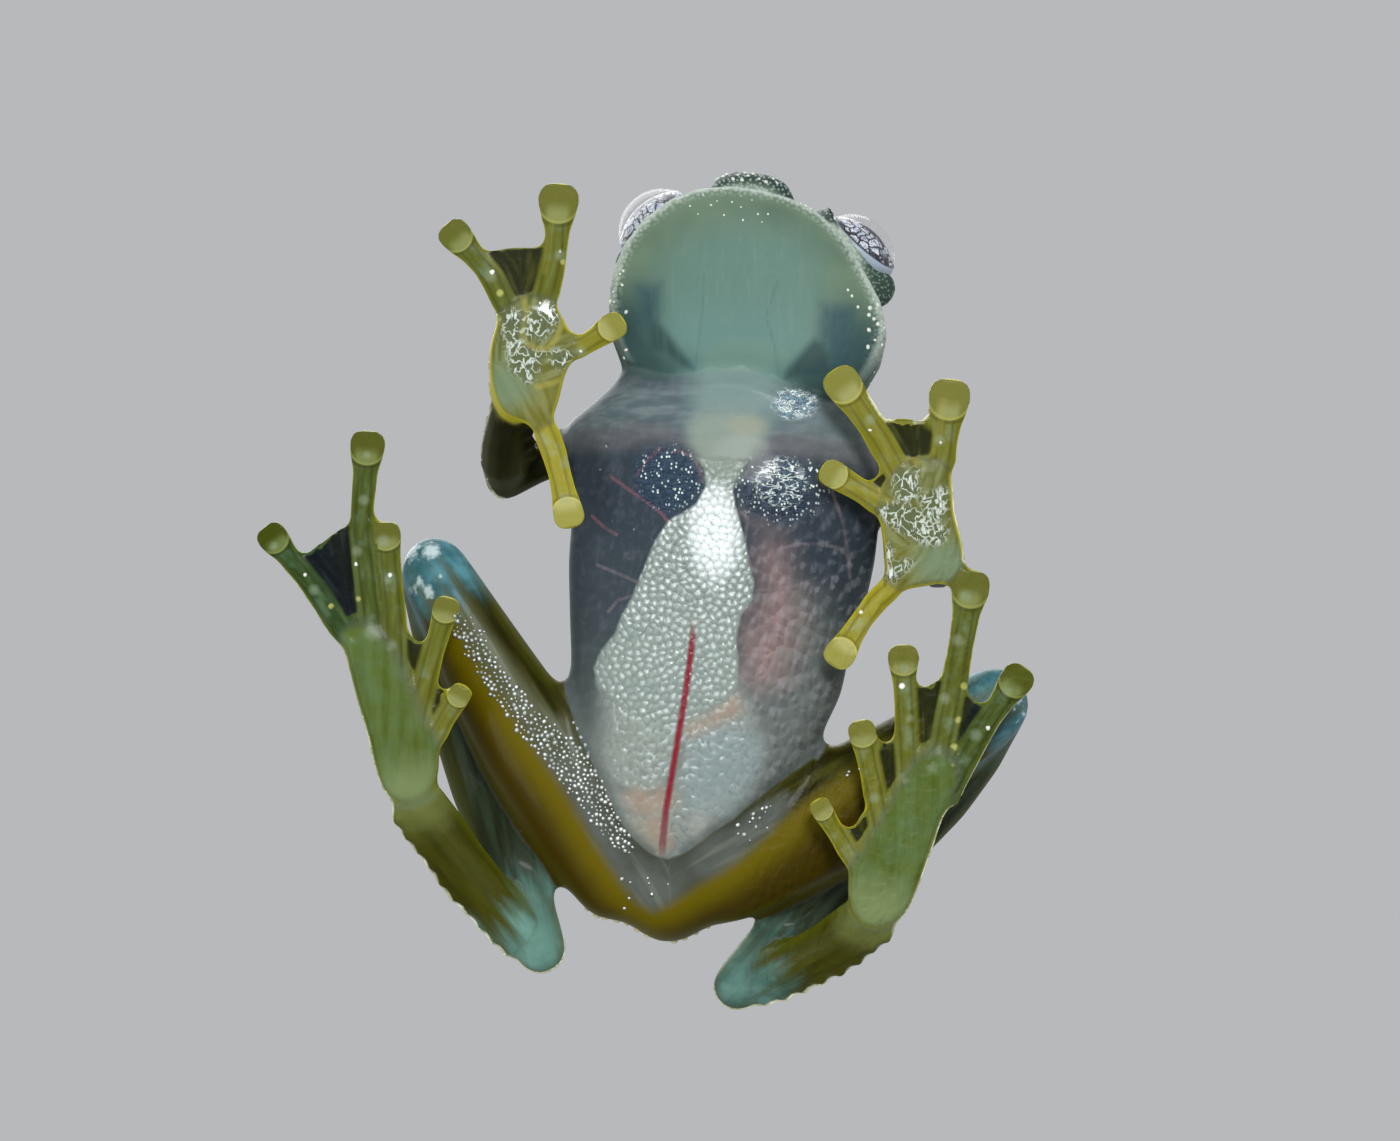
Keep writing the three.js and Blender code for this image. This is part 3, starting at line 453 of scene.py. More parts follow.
# %% Outlines on the throat, the chest and the belly
OUTLINES = {
    "sternum": [(697, 458), (690, 448), (687, 425), (697, 413), (719, 410), (753, 411), (766, 422),
        (768, 438), (759, 452), (748, 463), (738, 480), (708, 480)],
    "lobe_right": [(610, 706), (598, 742), (600, 765), (613, 785), (638, 796), (664, 790), (676, 765),
        (683, 740), (688, 715), (660, 705)],
    "lobe_left": [(688, 742), (680, 780), (688, 808), (706, 820), (726, 814), (745, 798), (760, 772),
        (764, 748), (750, 730), (722, 724), (700, 728)],
    "window_right": [(660, 446), (642, 456), (634, 474), (638, 494), (652, 508), (668, 514), (688, 506),
        (703, 490), (702, 468), (692, 452), (676, 445)],
    "window_left": [(778, 455), (758, 462), (744, 480), (741, 500), (752, 514), (775, 522), (800, 516),
        (812, 498), (810, 474), (798, 460)],
    "chest": [(618, 372), (590, 395), (560, 425), (560, 440), (610, 442), (650, 438), (690, 452),
        (740, 470), (770, 456), (812, 450), (862, 462), (884, 466), (890, 430), (866, 392), (840, 372),
        (740, 362)],
    "pink": [(748, 510), (762, 530), (758, 560), (762, 590), (752, 610), (742, 640), (742, 678), (762, 690),
        (786, 680), (798, 650), (802, 610), (796, 570), (782, 540), (766, 516)],
    "haze": [(790, 600), (812, 600), (834, 640), (832, 700), (814, 756), (744, 808), (720, 760), (740, 690),
        (770, 640)],
    "throat": [(662, 262), (658, 300), (660, 318), (671, 341), (691, 363), (694, 420), (774, 420),
        (783, 369), (799, 355), (817, 338), (822, 300), (820, 262), (800, 236), (740, 226), (685, 238)],
    "patch_right": [(637, 287), (660, 284), (661, 300), (657, 318), (647, 328), (641, 312)],
    "wedge_right": [(654, 322), (661, 327), (692, 368), (683, 365), (667, 354), (651, 347), (650, 334)],
    "wet_chest": [(776, 392), (794, 384), (814, 390), (820, 404), (808, 418), (784, 418), (772, 406)],
    "patch_left": [(821, 305), (855, 308), (850, 332), (844, 366), (833, 366), (826, 348), (818, 336)],
    "wedge_left": [(814, 340), (822, 344), (828, 358), (826, 372), (786, 378), (790, 368)],
}

for name, outline in OUTLINES.items():
    keep_on_skin("in_" + name, outline_distance(places, outline))
print(len(OUTLINES), "outlines measured on the skin:", ", ".join(OUTLINES))

# %% Vein, vessels, seams and folds
VEIN = [(694, 622), (690, 660), (686, 690), (681, 720), (676, 750), (671, 780), (666, 810), (663, 838),
    (661, 866)]
THROAT_LINES = [
    [(778, 280), (770, 304), (766, 318), (772, 336), (776, 355), (778, 374)],
    [(704, 273), (703, 304), (698, 348), (694, 374)],
]
VESSELS = [
    [(673, 451), (685, 453), (694, 458), (699, 469), (703, 482)],
    [(610, 476), (635, 494), (651, 505), (662, 514), (669, 523)],
    [(636, 476), (646, 462), (660, 448)],
    [(597, 565), (612, 571), (626, 577), (637, 582)],
    [(592, 516), (605, 528), (617, 535)],
    [(741, 512), (748, 518), (744, 545), (752, 570)],
    [(755, 590), (771, 589), (787, 587), (809, 583)],
    [(778, 550), (796, 544), (821, 544), (839, 548), (847, 555)],
    [(832, 491), (839, 510), (844, 526), (846, 541), (849, 560), (850, 578)],
    [(608, 612), (618, 600), (632, 596)],
    [(700, 655), (720, 654), (760, 655), (780, 652)],
]
SEAMS = [
    [(567, 706), (576, 733), (592, 760), (606, 790), (617, 815), (631, 835), (651, 852)],
    [(684, 851), (712, 831), (733, 819), (744, 808), (767, 790), (789, 774), (814, 757)],
]
FOLD_LINES = [
    [(692, 724), (708, 720), (730, 706)],
    [(636, 800), (650, 806), (664, 798)],
    [(655, 826), (662, 842)],
]


def nearest_of(lines):
    """Distance in millimetres from the nearest of several chains of pixels."""
    return np.min([line_distance(places, line)[0] for line in lines], axis=0)


from_vein, along_vein = line_distance(places, VEIN)
keep_on_skin("from_vein", from_vein)
keep_on_skin("along_vein", along_vein)
for name, lines in {"throat_lines": THROAT_LINES, "vessels": VESSELS, "seams": SEAMS,
        "folds": FOLD_LINES}.items():
    keep_on_skin("from_" + name, nearest_of(lines))
print("one vein,", len(VESSELS), "vessels,", len(SEAMS), "seams of the belly and", len(FOLD_LINES), "folds")

# %% Amber and lilac muscle of the thighs
AMBER_EDGE = [(430, 570), (447, 612), (465, 640), (482, 668), (500, 697), (520, 728), (540, 758),
    (563, 790), (579, 817), (594, 844), (609, 866), (624, 888), (638, 904), (652, 912), (668, 906),
    (694, 888), (721, 873), (744, 857), (767, 840), (789, 822), (812, 806), (835, 788), (858, 770),
    (890, 748), (930, 722), (985, 690)]
AMBER_OUTLINE = AMBER_EDGE + [(1100, 690), (1100, 1100), (300, 1100), (300, 500), (400, 540)]
# The lilac muscle lies between the seams of the belly and the amber edge, which is followed back.
LILAC = ([(440, 598), (466, 600), (498, 642), (528, 684), (552, 714), (566, 716)] + SEAMS[0][1:]
    + SEAMS[1][:3] + [(760, 802), (784, 790), (794, 796), (786, 812), (767, 836)]
    + AMBER_EDGE[17:1:-1] + [(450, 615)])
LOWER_BODY = (SEAMS[0][:-1] + [(651, 853), (668, 858), (686, 851)] + SEAMS[1][1:]
    + [(900, 900), (760, 1000), (560, 1000), (400, 760)])

for name, outline in {"amber": AMBER_OUTLINE, "lilac": LILAC, "lower_body": LOWER_BODY}.items():
    keep_on_skin("in_" + name, outline_distance(places, outline))
print("amber edge of", len(AMBER_EDGE), "places, lilac outline of", len(LILAC))

# %% Silver, folds and wrists of the palms
SILVER = [
    [(501, 314), (509, 310), (526, 312), (527, 322), (521, 335), (524, 346), (534, 352), (548, 352),
        (540, 364), (533, 378), (528, 384), (522, 374), (512, 372), (508, 350), (503, 332)],
    [(528, 312), (545, 304), (562, 304), (562, 314), (553, 328), (543, 338), (530, 338), (523, 332)],
    [(551, 350), (572, 350), (575, 364), (562, 368), (552, 364)],
    [(893, 471), (915, 470), (918, 486), (914, 498), (904, 502), (896, 492)],
    [(871, 506), (888, 503), (914, 508), (933, 521), (946, 530), (944, 541), (933, 545), (920, 542),
        (904, 534), (885, 521)],
    [(920, 498), (944, 486), (949, 496), (945, 518), (936, 522), (925, 515)],
    [(884, 546), (891, 545), (889, 568), (904, 559), (914, 561), (904, 574), (891, 582), (880, 584),
        (885, 569)],
]
PALM_FOLDS = [
    [(564, 308), (562, 324), (556, 339), (548, 349), (537, 349), (525, 343), (522, 331), (527, 312),
        (522, 293), (503, 272), (482, 247)],
    [(537, 247), (533, 274), (531, 289)],
    [(552, 222), (548, 250), (545, 272)],
    [(619, 339), (598, 358), (575, 373), (552, 383), (537, 387)],
    [(888, 412), (904, 441), (917, 463)],
    [(845, 487), (872, 492), (890, 502)],
    [(944, 400), (940, 430), (934, 452)],
    [(874, 560), (884, 590), (872, 612)],
]
WRISTS = [(506, 387), (939, 564)]

keep_on_skin("in_silver", np.max([outline_distance(places, outline) for outline in SILVER], axis=0))
keep_on_skin("from_palm_folds", nearest_of(PALM_FOLDS))
from_wrists = [np.linalg.norm(places - spot, axis=1) for spot in np.array(WRISTS)]
keep_on_skin("from_wrist", np.min(from_wrists, axis=0) / PIXELS_PER_MM)
print(len(SILVER), "silver patches and", len(PALM_FOLDS), "folds on the palms")

# %% Spots, and glints and shines that are painted highlights, each with its radius in pixels
YELLOW_SPOTS = [(346, 545, 4), (345, 560, 4), (349, 583, 5), (358, 599, 4), (964, 686, 5), (959, 720, 5),
    (954, 747, 5), (954, 766, 4), (331, 606, 4), (500, 293, 5), (563, 262, 4)]
PALE_SPOTS = [(905, 669, 7), (1007, 691, 7), (976, 735, 9), (945, 698, 8), (933, 769, 10), (904, 778, 8),
    (874, 798, 8), (910, 718, 6), (352, 640, 5), (372, 632, 12), (391, 646, 9), (388, 580, 6),
    (383, 541, 9), (357, 551, 8), (274, 546, 6), (314, 590, 8), (490, 276, 9), (560, 255, 8), (581, 352, 8),
    (492, 240, 7), (567, 462, 10), (564, 498, 8), (858, 604, 7), (870, 420, 8), (940, 440, 8),
    (966, 596, 8), (958, 640, 9), (367, 455, 6), (364, 500, 8)]
SHINES = [(409, 551, 12), (431, 551, 11), (414, 590, 7), (429, 590, 8), (421, 583, 5), (573, 722, 2),
    (577, 729, 2.4), (581, 737, 2.4), (585, 745, 2), (588, 752, 1.6), (440, 575, 3), (1012, 694, 3),
    (1019, 702, 4), (1024, 714, 3), (1014, 708, 2.5), (1027, 723, 3), (1008, 716, 2.5), (1018, 722, 2.5),
    (398, 560, 6), (600, 470, 1.6), (612, 520, 1.6), (634, 530, 1.8), (588, 560, 1.6), (646, 536, 1.6),
    (606, 446, 1.8), (629, 558, 1.5), (640, 1000, 3), (372, 905, 2), (488, 850, 2), (470, 812, 2),
    (520, 830, 2)]
GLINTS = [(356, 564, 2.6), (305, 575, 2.6), (560, 251, 2.2), (492, 272, 3.4), (581, 351, 2.2),
    (902, 686, 4), (905, 640, 2), (934, 761, 1.8), (923, 736, 1.5), (888, 738, 1.8), (874, 766, 1.6),
    (540, 303, 1.8), (870, 430, 2.4), (941, 442, 2.4), (861, 612, 2.6), (390, 575, 3), (988, 728, 3),
    (493, 254, 2)]

for name, spots in {"yellow": YELLOW_SPOTS, "pale": PALE_SPOTS, "glint": GLINTS, "shine": SHINES}.items():
    inside = [1 - np.linalg.norm(places - (x, y), axis=1) / radius for x, y, radius in spots]
    keep_on_skin("spot_" + name, np.max(inside, axis=0))
    print(len(spots), name, "spots")

# %% [markdown]
# ## Lips, knees and the run of each digit
#
# The next numbers follow the body and not the picture. The lip's number is how far out a corner is in the
# head's own frame, as the frame's head was built. A digit's numbers say how far the corner is from the
# middle of the disc, and how far to the side of the digit's middle line. Thickness tells webs from flesh.

# %% The head's own frame
BODY_SHIFT = np.array([-0.07, 0.22])  # from the places that the solids were drawn at to the frame
HEAD_MIDDLE = np.array([4.03, -10.98, 2.9])
HEAD_YAW = 5.8  # degrees, as the roll and the pitch beside it
HEAD_TURN = (Matrix.Rotation(math.radians(HEAD_YAW), 3, "Z") @ Matrix.Rotation(math.radians(3), 3, "Y")
    @ Matrix.Rotation(math.radians(-8), 3, "X"))
LIP_STEP = 30  # degrees between the lip's radii, round from the snout
LIP_RADII = [5.5, 5.36, 5.2, 5.75, 5.3, 2.8, 2.15, 2.75, 5.2, 5.76, 6.05, 5.97]

in_head = (corners - HEAD_MIDDLE) @ np.array(HEAD_TURN)
head_angle = np.degrees(np.arctan2(in_head[:, 0], -in_head[:, 1])) % 360
lip_radius = np.interp(head_angle, np.arange(len(LIP_RADII) + 1) * LIP_STEP, LIP_RADII + LIP_RADII[:1])
keep_on_skin("lip_share", np.hypot(in_head[:, 0], in_head[:, 1]) / lip_radius)
keep_on_skin("above_mouth", in_head[:, 2])
keep_on_skin("ahead_in_head", -in_head[:, 1])
print("corners of the skin within the lips:",
    int((np.hypot(in_head[:, 0], in_head[:, 1]) < lip_radius).sum()))

# %% Knees, heels and the run of each leg
HIPS = np.array([(-0.8, 11.8, 3.6), (2.6, 11.8, 3.6)])
KNEES = np.array([(-8.9, -0.9, 4.5), (14.3, 4.5, 4.6)])
HEELS = np.array([(-4.4, 14.6, 3.2), (3.6, 16.1, 4.1)])
ANKLES = np.array([(-9.4, 8.2, 1.1), (9.1, 12.9, 1.1)])
OWN_PART = 2  # millimetres by which a bone counts as nearer to its own part of the leg

for name, spots in {"knee": KNEES, "heel": HEELS, "ankle": ANKLES}.items():
    keep_on_skin("from_" + name, np.linalg.norm(corners[:, None] - spots[None], axis=2).min(1))

best = np.full(len(corners), 1e9)
along_leg, across_leg = np.zeros(len(corners)), np.zeros(len(corners))
for part, starts, ends in (("thigh", HIPS, KNEES), ("shank", KNEES, HEELS), ("tarsus", HEELS, ANKLES)):
    for start, end in zip(starts, ends):
        reach = end - start
        share = np.clip((corners - start) @ reach / (reach @ reach), 0, 1)
        far = np.linalg.norm(corners - (start + share[:, None] * reach), axis=1) - OWN_PART * weights[part]
        sideways = np.cross((0, 0, 1), reach)
        closer = far < best
        best[closer] = far[closer]
        along_leg[closer] = (corners - start)[closer] @ reach / np.linalg.norm(reach)
        across_leg[closer] = (corners - start)[closer] @ sideways / np.linalg.norm(sideways)
keep_on_skin("along_leg", along_leg)
keep_on_skin("across_leg", across_leg)
print("legs run from", along_leg.min().round(1), "to", along_leg.max().round(1), "mm along their bones")

# %% How thick the flesh is
FAR_AWAY = 9.0  # millimetres that stand for nowhere near
WEB_THICKNESS = 0.62
JUST_INSIDE = 0.02

skin_tree = BVHTree.FromPolygons(corners.tolist(), [tuple(face.vertices) for face in skin_mesh.polygons])
thickness = np.full(len(corners), FAR_AWAY)
flat = np.flatnonzero(weights["hand"] + weights["foot"] + weights["finger"] + weights["toe"] > 0.3)
for index in flat:
    inward = Vector(-normals[index])
    hit = skin_tree.ray_cast(Vector(corners[index]) + inward * JUST_INSIDE, inward)
    if hit[0] is not None:
        thickness[index] = hit[3]
keep_on_skin("thickness", spread(links, thickness, 2))
print("thin corners of the webs:", int((thickness < WEB_THICKNESS).sum()))

# %% Each digit's middle line: four places, the width of its disc, and how golden it is
DIGITS = {
    "hand_right": [[(-5.2, -8.9), (-4.6, -8.0), (-3.7, -5.8), (-3.1, -3.3), 1.35, 1.0],
        [(-5.0, -9.3), (-4.3, -9.4), (-2.5, -10.1), (-1.3, -10.85), 1.2, 0.7],
        [(-4.8, -9.6), (-4.4, -10.6), (-3.65, -13.7), (-3.5, -15.85), 1.75, 0.32],
        [(-5.1, -9.6), (-5.1, -10.4), (-6.2, -12.8), (-7.65, -14.5), 1.4, 0.25]],
    "hand_left": [[(11.3, -2.4), (11.2, -1.6), (9.2, 0.2), (7.75, 2.3), 1.35, 0.95],
        [(11.2, -2.5), (10.9, -2.6), (9.0, -4.0), (7.45, -4.95), 1.2, 0.7],
        [(11.2, -2.6), (11.0, -3.4), (9.4, -6.3), (7.85, -8.55), 1.6, 0.6],
        [(11.3, -2.6), (11.4, -3.4), (11.9, -5.8), (12.15, -8.0), 1.8, 0.45]],
    "foot_right": [[(-9.3, 7.8), (-9.2, 7.2), (-8.2, 5.2), (-7.45, 3.9), 1.0, 0.45],
        [(-9.4, 7.8), (-9.5, 6.2), (-8.7, 2.9), (-8.0, 0.45), 1.15, 0.38],
        [(-9.5, 7.8), (-10.0, 4.6), (-10.1, 0.6), (-10.4, -2.5), 1.25, 0.25],
        [(-9.7, 7.8), (-10.7, 3.2), (-11.4, -2.6), (-11.15, -6.05), 1.5, 0.12],
        [(-10.0, 7.8), (-11.0, 3.4), (-13.0, 0.1), (-14.95, -2.4), 1.3, 0.0]],
    "foot_left": [[(9.0, 12.6), (9.1, 12.0), (8.0, 10.1), (7.0, 8.45), 0.95, 0.5],
        [(9.2, 12.6), (9.7, 10.6), (9.1, 7.6), (8.65, 5.4), 1.2, 0.45],
        [(9.4, 12.6), (10.6, 8.8), (10.4, 5.0), (10.3, 2.45), 1.35, 0.35],
        [(9.6, 12.6), (11.5, 7.8), (12.4, 3.2), (13.0, -0.4), 1.65, 0.25],
        [(9.8, 12.6), (11.9, 8.2), (13.4, 5.4), (14.85, 3.3), 1.45, 0.1]],
}

# %% How far each corner is from the digits
from_middle, from_tip, disc_round = (np.full(len(corners), FAR_AWAY) for _ in range(3))
across, golden, disc_width = np.zeros(len(corners)), np.zeros(len(corners)), np.ones(len(corners))
for digits in DIGITS.values():
    for *chain, disc, gold in digits:
        chain = np.array(chain) + BODY_SHIFT
        lengths = np.linalg.norm(np.diff(chain, axis=0), axis=1)
        for i, length in enumerate(lengths):
            last = i == len(lengths) - 1
            along = (corners[:, :2] - chain[i]) @ (chain[i + 1] - chain[i]) / length
            run = np.clip(along, 0, length + disc * last)
            middle = chain[i] + run[:, None] * (chain[i + 1] - chain[i]) / length
            far = np.linalg.norm(corners[:, :2] - middle, axis=1)
            closer = far < from_middle
            from_middle[closer] = far[closer]
            from_tip[closer] = (length - run[closer]) + lengths[i + 1:].sum()
            disc_width[closer] = disc
            heading = (chain[i + 1] - chain[i]) / length
            across[closer] = ((corners[:, :2] - chain[i]) @ np.array([-heading[1], heading[0]]))[closer]
            disc_round[closer] = (np.linalg.norm(corners[:, :2] - chain[-1], axis=1) / disc * 2)[closer]
            golden[closer] = gold
for name, values in {"from_tip": from_tip, "disc_share": from_tip / disc_width, "from_middle": from_middle,
        "across_digit": across, "disc_round": disc_round, "golden": spread(links, golden, 4)}.items():
    keep_on_skin(name, values)
print("digits measured:", sum(len(digits) for digits in DIGITS.values()))

# %% [markdown]
# ## The skin takes the solids' place
#
# The frame's solids stay for collision, but they no longer show: the skin stands for all of them. It goes
# from the bench's millimetres back to metres, so its object stays at the origin, as every solid's does.

# %% The skin goes to its place
def settle(thing):
    """From the bench's millimetres to metres, and onto the body."""
    thing.data.transform(Matrix.Scale(MM, 4))
    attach(thing, "root")


settle(skin)
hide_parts(*FLESH)
print("skin is in place,", sum(len(face.vertices) - 2 for face in skin.data.polygons), "triangles")

# %% [markdown]
# ## A small language for node trees
#
# A material is sums on numbers that vary over the skin. Typed as node calls they would hide the idea, so
# one class wraps a socket and turns +, -, *, / and ** into Math nodes. Every other node comes from one
# method, `node`. `under` lays one colour over another, and `rise` makes a soft step of a number: both are
# used all the time below.

# %% Sockets that can be added and multiplied
class Socket:
    """An output socket of a tree in the making."""

    def __init__(self, plan, socket):
        self.plan, self.socket = plan, socket

    def sum(self, operation, first, second):
        return self.plan.node("ShaderNodeMath", {"operation": operation}, {0: first, 1: second})

    def __add__(self, other):
        return self.sum("ADD", self, other)

    __radd__ = __add__

    def __sub__(self, other):
        return self.sum("SUBTRACT", self, other)

    def __rsub__(self, other):
        return self.sum("SUBTRACT", other, self)

    def __mul__(self, other):
        return self.sum("MULTIPLY", self, other)

    __rmul__ = __mul__

    def __truediv__(self, other):
        return self.sum("DIVIDE", self, other)

    def __pow__(self, other):
        return self.sum("POWER", self, other)

    def __abs__(self):
        return self.sum("ABSOLUTE", self, 0)

    def at_most(self, other):
        return self.sum("MINIMUM", self, other)

    def at_least(self, other):
        return self.sum("MAXIMUM", self, other)

    def rise(self, low, high):
        """0 below low, 1 above high, and a soft step between. With high under low it falls."""
        return self.plan.node("ShaderNodeMapRange", {"interpolation_type": "SMOOTHSTEP"},
            {"Value": self, "From Min": low, "From Max": high})

    def under(self, colour, share):
        """This colour with another laid over it."""
        return self.plan.blend(self, colour, share)


print("sums become Math nodes")


# %% A tree in the making
class Plan:
    """A node tree in the making."""

    def __init__(self, tree):
        self.tree = tree

    def node(self, kind, settings=None, sockets=None, output=0):
        """Adds one node: first its settings, then its sockets' values or links."""
        made = self.tree.nodes.new(kind)
        for name, value in (settings or {}).items():
            setattr(made, name, value)
        for key, value in (sockets or {}).items():
            self.connect(made.inputs[key], value)
        return Socket(self, made.outputs[output])

    def connect(self, target, value):
        """Links a socket to another, or gives it a value of its own."""
        if isinstance(value, Socket):
            self.tree.links.new(value.socket, target)
        else:
            target.default_value = value

    def blend(self, first, second, share):
        """One colour at share 0, another at share 1."""
        return self.node("ShaderNodeMix", {"data_type": "RGBA"}, {0: share, 6: first, 7: second}, output=2)

    def part_of(self, vector, axis):
        """One of a vector's three numbers."""
        return self.node("ShaderNodeSeparateXYZ", sockets={0: vector}, output=axis)


print("methods of a plan:", ", ".join(name for name in vars(Plan) if name[0] != "_"))

# %% [markdown]
# ## A finish
#
# A finish is a material with a few helpers for patterns. Every pattern reads Object coordinates, turned into
# millimetres, so sizes are true on the body and nothing slides when the model is exported.

# %% Patterns in millimetres
FLASH_MIRROR = tuple(Vector((-0.1, -0.27, -0.95)).normalized())  # what faces here mirrors the flash
LAMP_SHIFT = (-0.05, -0.09, 0)  # from a bump's middle to its lit side, in stretched millimetres


class Finish(Plan):
    """A material in the making."""

    def __init__(self, name):
        self.material = bpy.data.materials.new(name)
        self.material.use_nodes = True
        super().__init__(self.material.node_tree)
        self.output = self.tree.nodes["Material Output"]
        self.principled = self.tree.nodes["Principled BSDF"]

    def surface(self, **sockets):
        """Sets or links the shader's sockets, whose names are written with _ for a space."""
        for key, value in sockets.items():
            self.connect(self.principled.inputs[key.replace("_", " ")], value)

    def number(self, name):
        """A number kept on the mesh."""
        return self.node("ShaderNodeAttribute", {"attribute_name": name}, output="Fac")

    def place(self, stretch=(1, 1, 1)):
        """Object coordinates in millimetres, stretched."""
        spot = self.node("ShaderNodeTexCoord", output="Object")
        scale = tuple(x / MM for x in stretch)
        return self.node("ShaderNodeMapping", sockets={"Vector": spot, "Scale": scale})

    def noise(self, size, detail=2.0, roughness=0.5, stretch=(1, 1, 1)):
        """Noise from 0 to 1 whose blots are about this many millimetres across."""
        place = self.place(stretch)
        sockets = {"Vector": place, "Scale": 1 / size, "Detail": detail, "Roughness": roughness}
        return self.node("ShaderNodeTexNoise", sockets=sockets)

    def cells(self, size, stretch=(1, 1, 1), shift=(0, 0, 0)):
        """Distance from the nearest of many scattered points."""
        spot = self.node("ShaderNodeVectorMath", {"operation": "ADD"}, {0: self.place(stretch), 1: shift})
        sockets = {"Vector": spot, "Scale": 1 / size}
        return self.node("ShaderNodeTexVoronoi", {"voronoi_dimensions": "2D"}, sockets, output="Distance")

    def lit_side(self, size, stretch):
        """Scattered bumps as a lamp shows them: above 0 on the lit side, below 0 on the shaded one."""
        return self.cells(size, stretch, LAMP_SHIFT) - self.cells(size, stretch)

    def towards_flash(self):
        """1 where the surface would mirror the flash into the lens, less the further it is turned away.
        Painted highlights use it.
        """
        normal = self.node("ShaderNodeNewGeometry", output="Normal")
        sockets = {0: normal, 1: FLASH_MIRROR}
        return self.node("ShaderNodeVectorMath", {"operation": "DOT_PRODUCT"}, sockets, output="Value")

    def bumped(self, height, depth):
        """A Normal from heights between 0 and 1 that stand for this many millimetres."""
        sockets = {"Strength": 1.0, "Distance": depth * MM, "Height": height}
        return self.node("ShaderNodeBump", sockets=sockets, output="Normal")


print("a surface mirrors the flash when it faces", [round(x, 2) for x in FLASH_MIRROR])

# %% [markdown]
# ## Colours as the camera saw them
#
# The colours are written as they look in the photograph, as three numbers from 0 to 255. There the animal
# hangs before black, lit by a flash. In front of a pale floor the same colours look too dark, so all of
# them are raised by the same share.

# %% Reading a colour
RAISED = 1.1
BRIGHTEST = 250  # no skin is whiter than this


def seen(red, green, blue, raised=RAISED):
    """A colour of the photograph, raised and made linear."""
    values = [min(c * raised, BRIGHTEST) / 255 for c in (red, green, blue)]
    return (*[c / 12.92 if c <= 0.04 else ((c + 0.055) / 1.055) ** 2.4 for c in values], 1.0)


print("a middle grey of the photograph becomes", [round(c, 3) for c in seen(128, 128, 128)])

# %% [markdown]
# ## The skin
#
# Glass frog skin is clear and wet. On the belly the eye sees a white pearly sheet with beads, slate-blue
# windows, pink bowel and one red vein. On the thighs it sees amber muscle, on the head mint-green jaw
# tissue, and in the thin fingers mostly yellow rims where light shines through the edges. Real see-through
# layers would need organs inside, and light that scatters in them, which no exported model keeps. So each
# part gets a painted colour of its own from its marks, laid on in layers from the deepest to the one on top,
# and the parts' weights blend them at the end. That light through the edges, and the glints of the flash,
# are painted into the colour too.

# %% What all parts share
skin_finish = Finish("glass_frog_skin")
number = skin_finish.number
grain = skin_finish.noise(0.4, 2, 0.6)
cloud = skin_finish.noise(2.2, 2, 0.5)
blots = skin_finish.noise(0.9, 2, 0.5)
wobble = (skin_finish.noise(1.1, 2, 0.6) - 0.5) * 0.5  # millimetres by which a mark's edge wanders
flecks = skin_finish.cells(0.17)
x_mm = skin_finish.part_of(skin_finish.place(), "X")
y_mm = skin_finish.part_of(skin_finish.place(), "Y")
facing_up = skin_finish.part_of(skin_finish.node("ShaderNodeNewGeometry", output="Normal"), "Z")
steep = 1 - abs(facing_up)  # 0 on flat skin, 1 on its sides
# edge_glow and wide_edge_glow: painted yellow light shining through thin edges, by how steep the skin is
edge_glow = steep.rise(0.25, 0.7)
wide_edge_glow = steep.rise(0.08, 0.45)
under = facing_up.rise(0.2, -0.1)
flashed = skin_finish.towards_flash()


def two_tone(first, second, share):
    """From one colour of the photograph to another."""
    return skin_finish.blend(seen(*first), seen(*second), share)


def oval(x, y, wide, high):
    """0 in the middle of an oval on the skin, 1 on its edge, and more beyond. All in millimetres."""
    return ((x_mm - x) / wide) ** 2 + ((y_mm - y) / high) ** 2


def streaks(across, along, detail):
    """Noise drawn out along a limb, from the two numbers that measure the limb."""
    limb_place = skin_finish.node("ShaderNodeCombineXYZ", sockets={0: across, 1: along})
    sockets = {"Vector": limb_place, "Scale": 1.0, "Detail": detail}
    return skin_finish.node("ShaderNodeTexNoise", sockets=sockets)


def nodes_so_far(what):
    print(what, "written,", len(skin_finish.tree.nodes), "nodes so far")


leg_streaks = streaks(number("across_leg") * 2.2, number("along_leg") * 0.22, 2.0)
nodes_so_far("shared patterns")

# %% [markdown]
# ### Head
#
# From below the head is the thin floor of the mouth: mint green over the jaw, dark where the eyes' sockets
# lie behind it, with a pale shield in the middle and a pale, flecked lip. The lip follows the head's own
# outline, so it reads how far out a corner is. The patches were measured.

# %% Skin of the head
ahead = number("ahead_in_head")
lip_share = number("lip_share")
above_mouth = number("above_mouth")
throat = (number("in_throat") + wobble * 1.4).rise(-1.3, 1.1)
head = two_tone((92, 111, 93), (80, 98, 82), cloud.rise(0.35, 0.75))
head = head.under(seen(48, 70, 70), ahead.rise(2.2, -0.9) * lip_share.rise(0.42, 0.76))
head = head.under(seen(84, 112, 104), throat * 0.9)
head = head.under(seen(90, 122, 120), throat * ahead.rise(1.5, -2.5) * 0.8)
shield = (oval(3.8, -9.4, 2.0, 0.9) + wobble).rise(1.3, 0.3)
head = head.under(seen(102, 124, 110), shield * throat * 0.45)
for name in ("patch_right", "patch_left"):
    head = head.under(seen(44, 70, 76), (number("in_" + name) + wobble * 0.5).rise(-0.45, 0.45) * 0.85)
for name in ("wedge_right", "wedge_left"):
    head = head.under(seen(42, 62, 64), (number("in_" + name) + wobble * 0.2).rise(-0.28, 0.2) * 0.85)
throat_lines = number("from_throat_lines").rise(0.1, 0.01) * (cloud.rise(0.35, 0.6) * 0.4 + 0.15)
head = head.under(seen(70, 96, 96), throat_lines)
nodes_so_far("head")

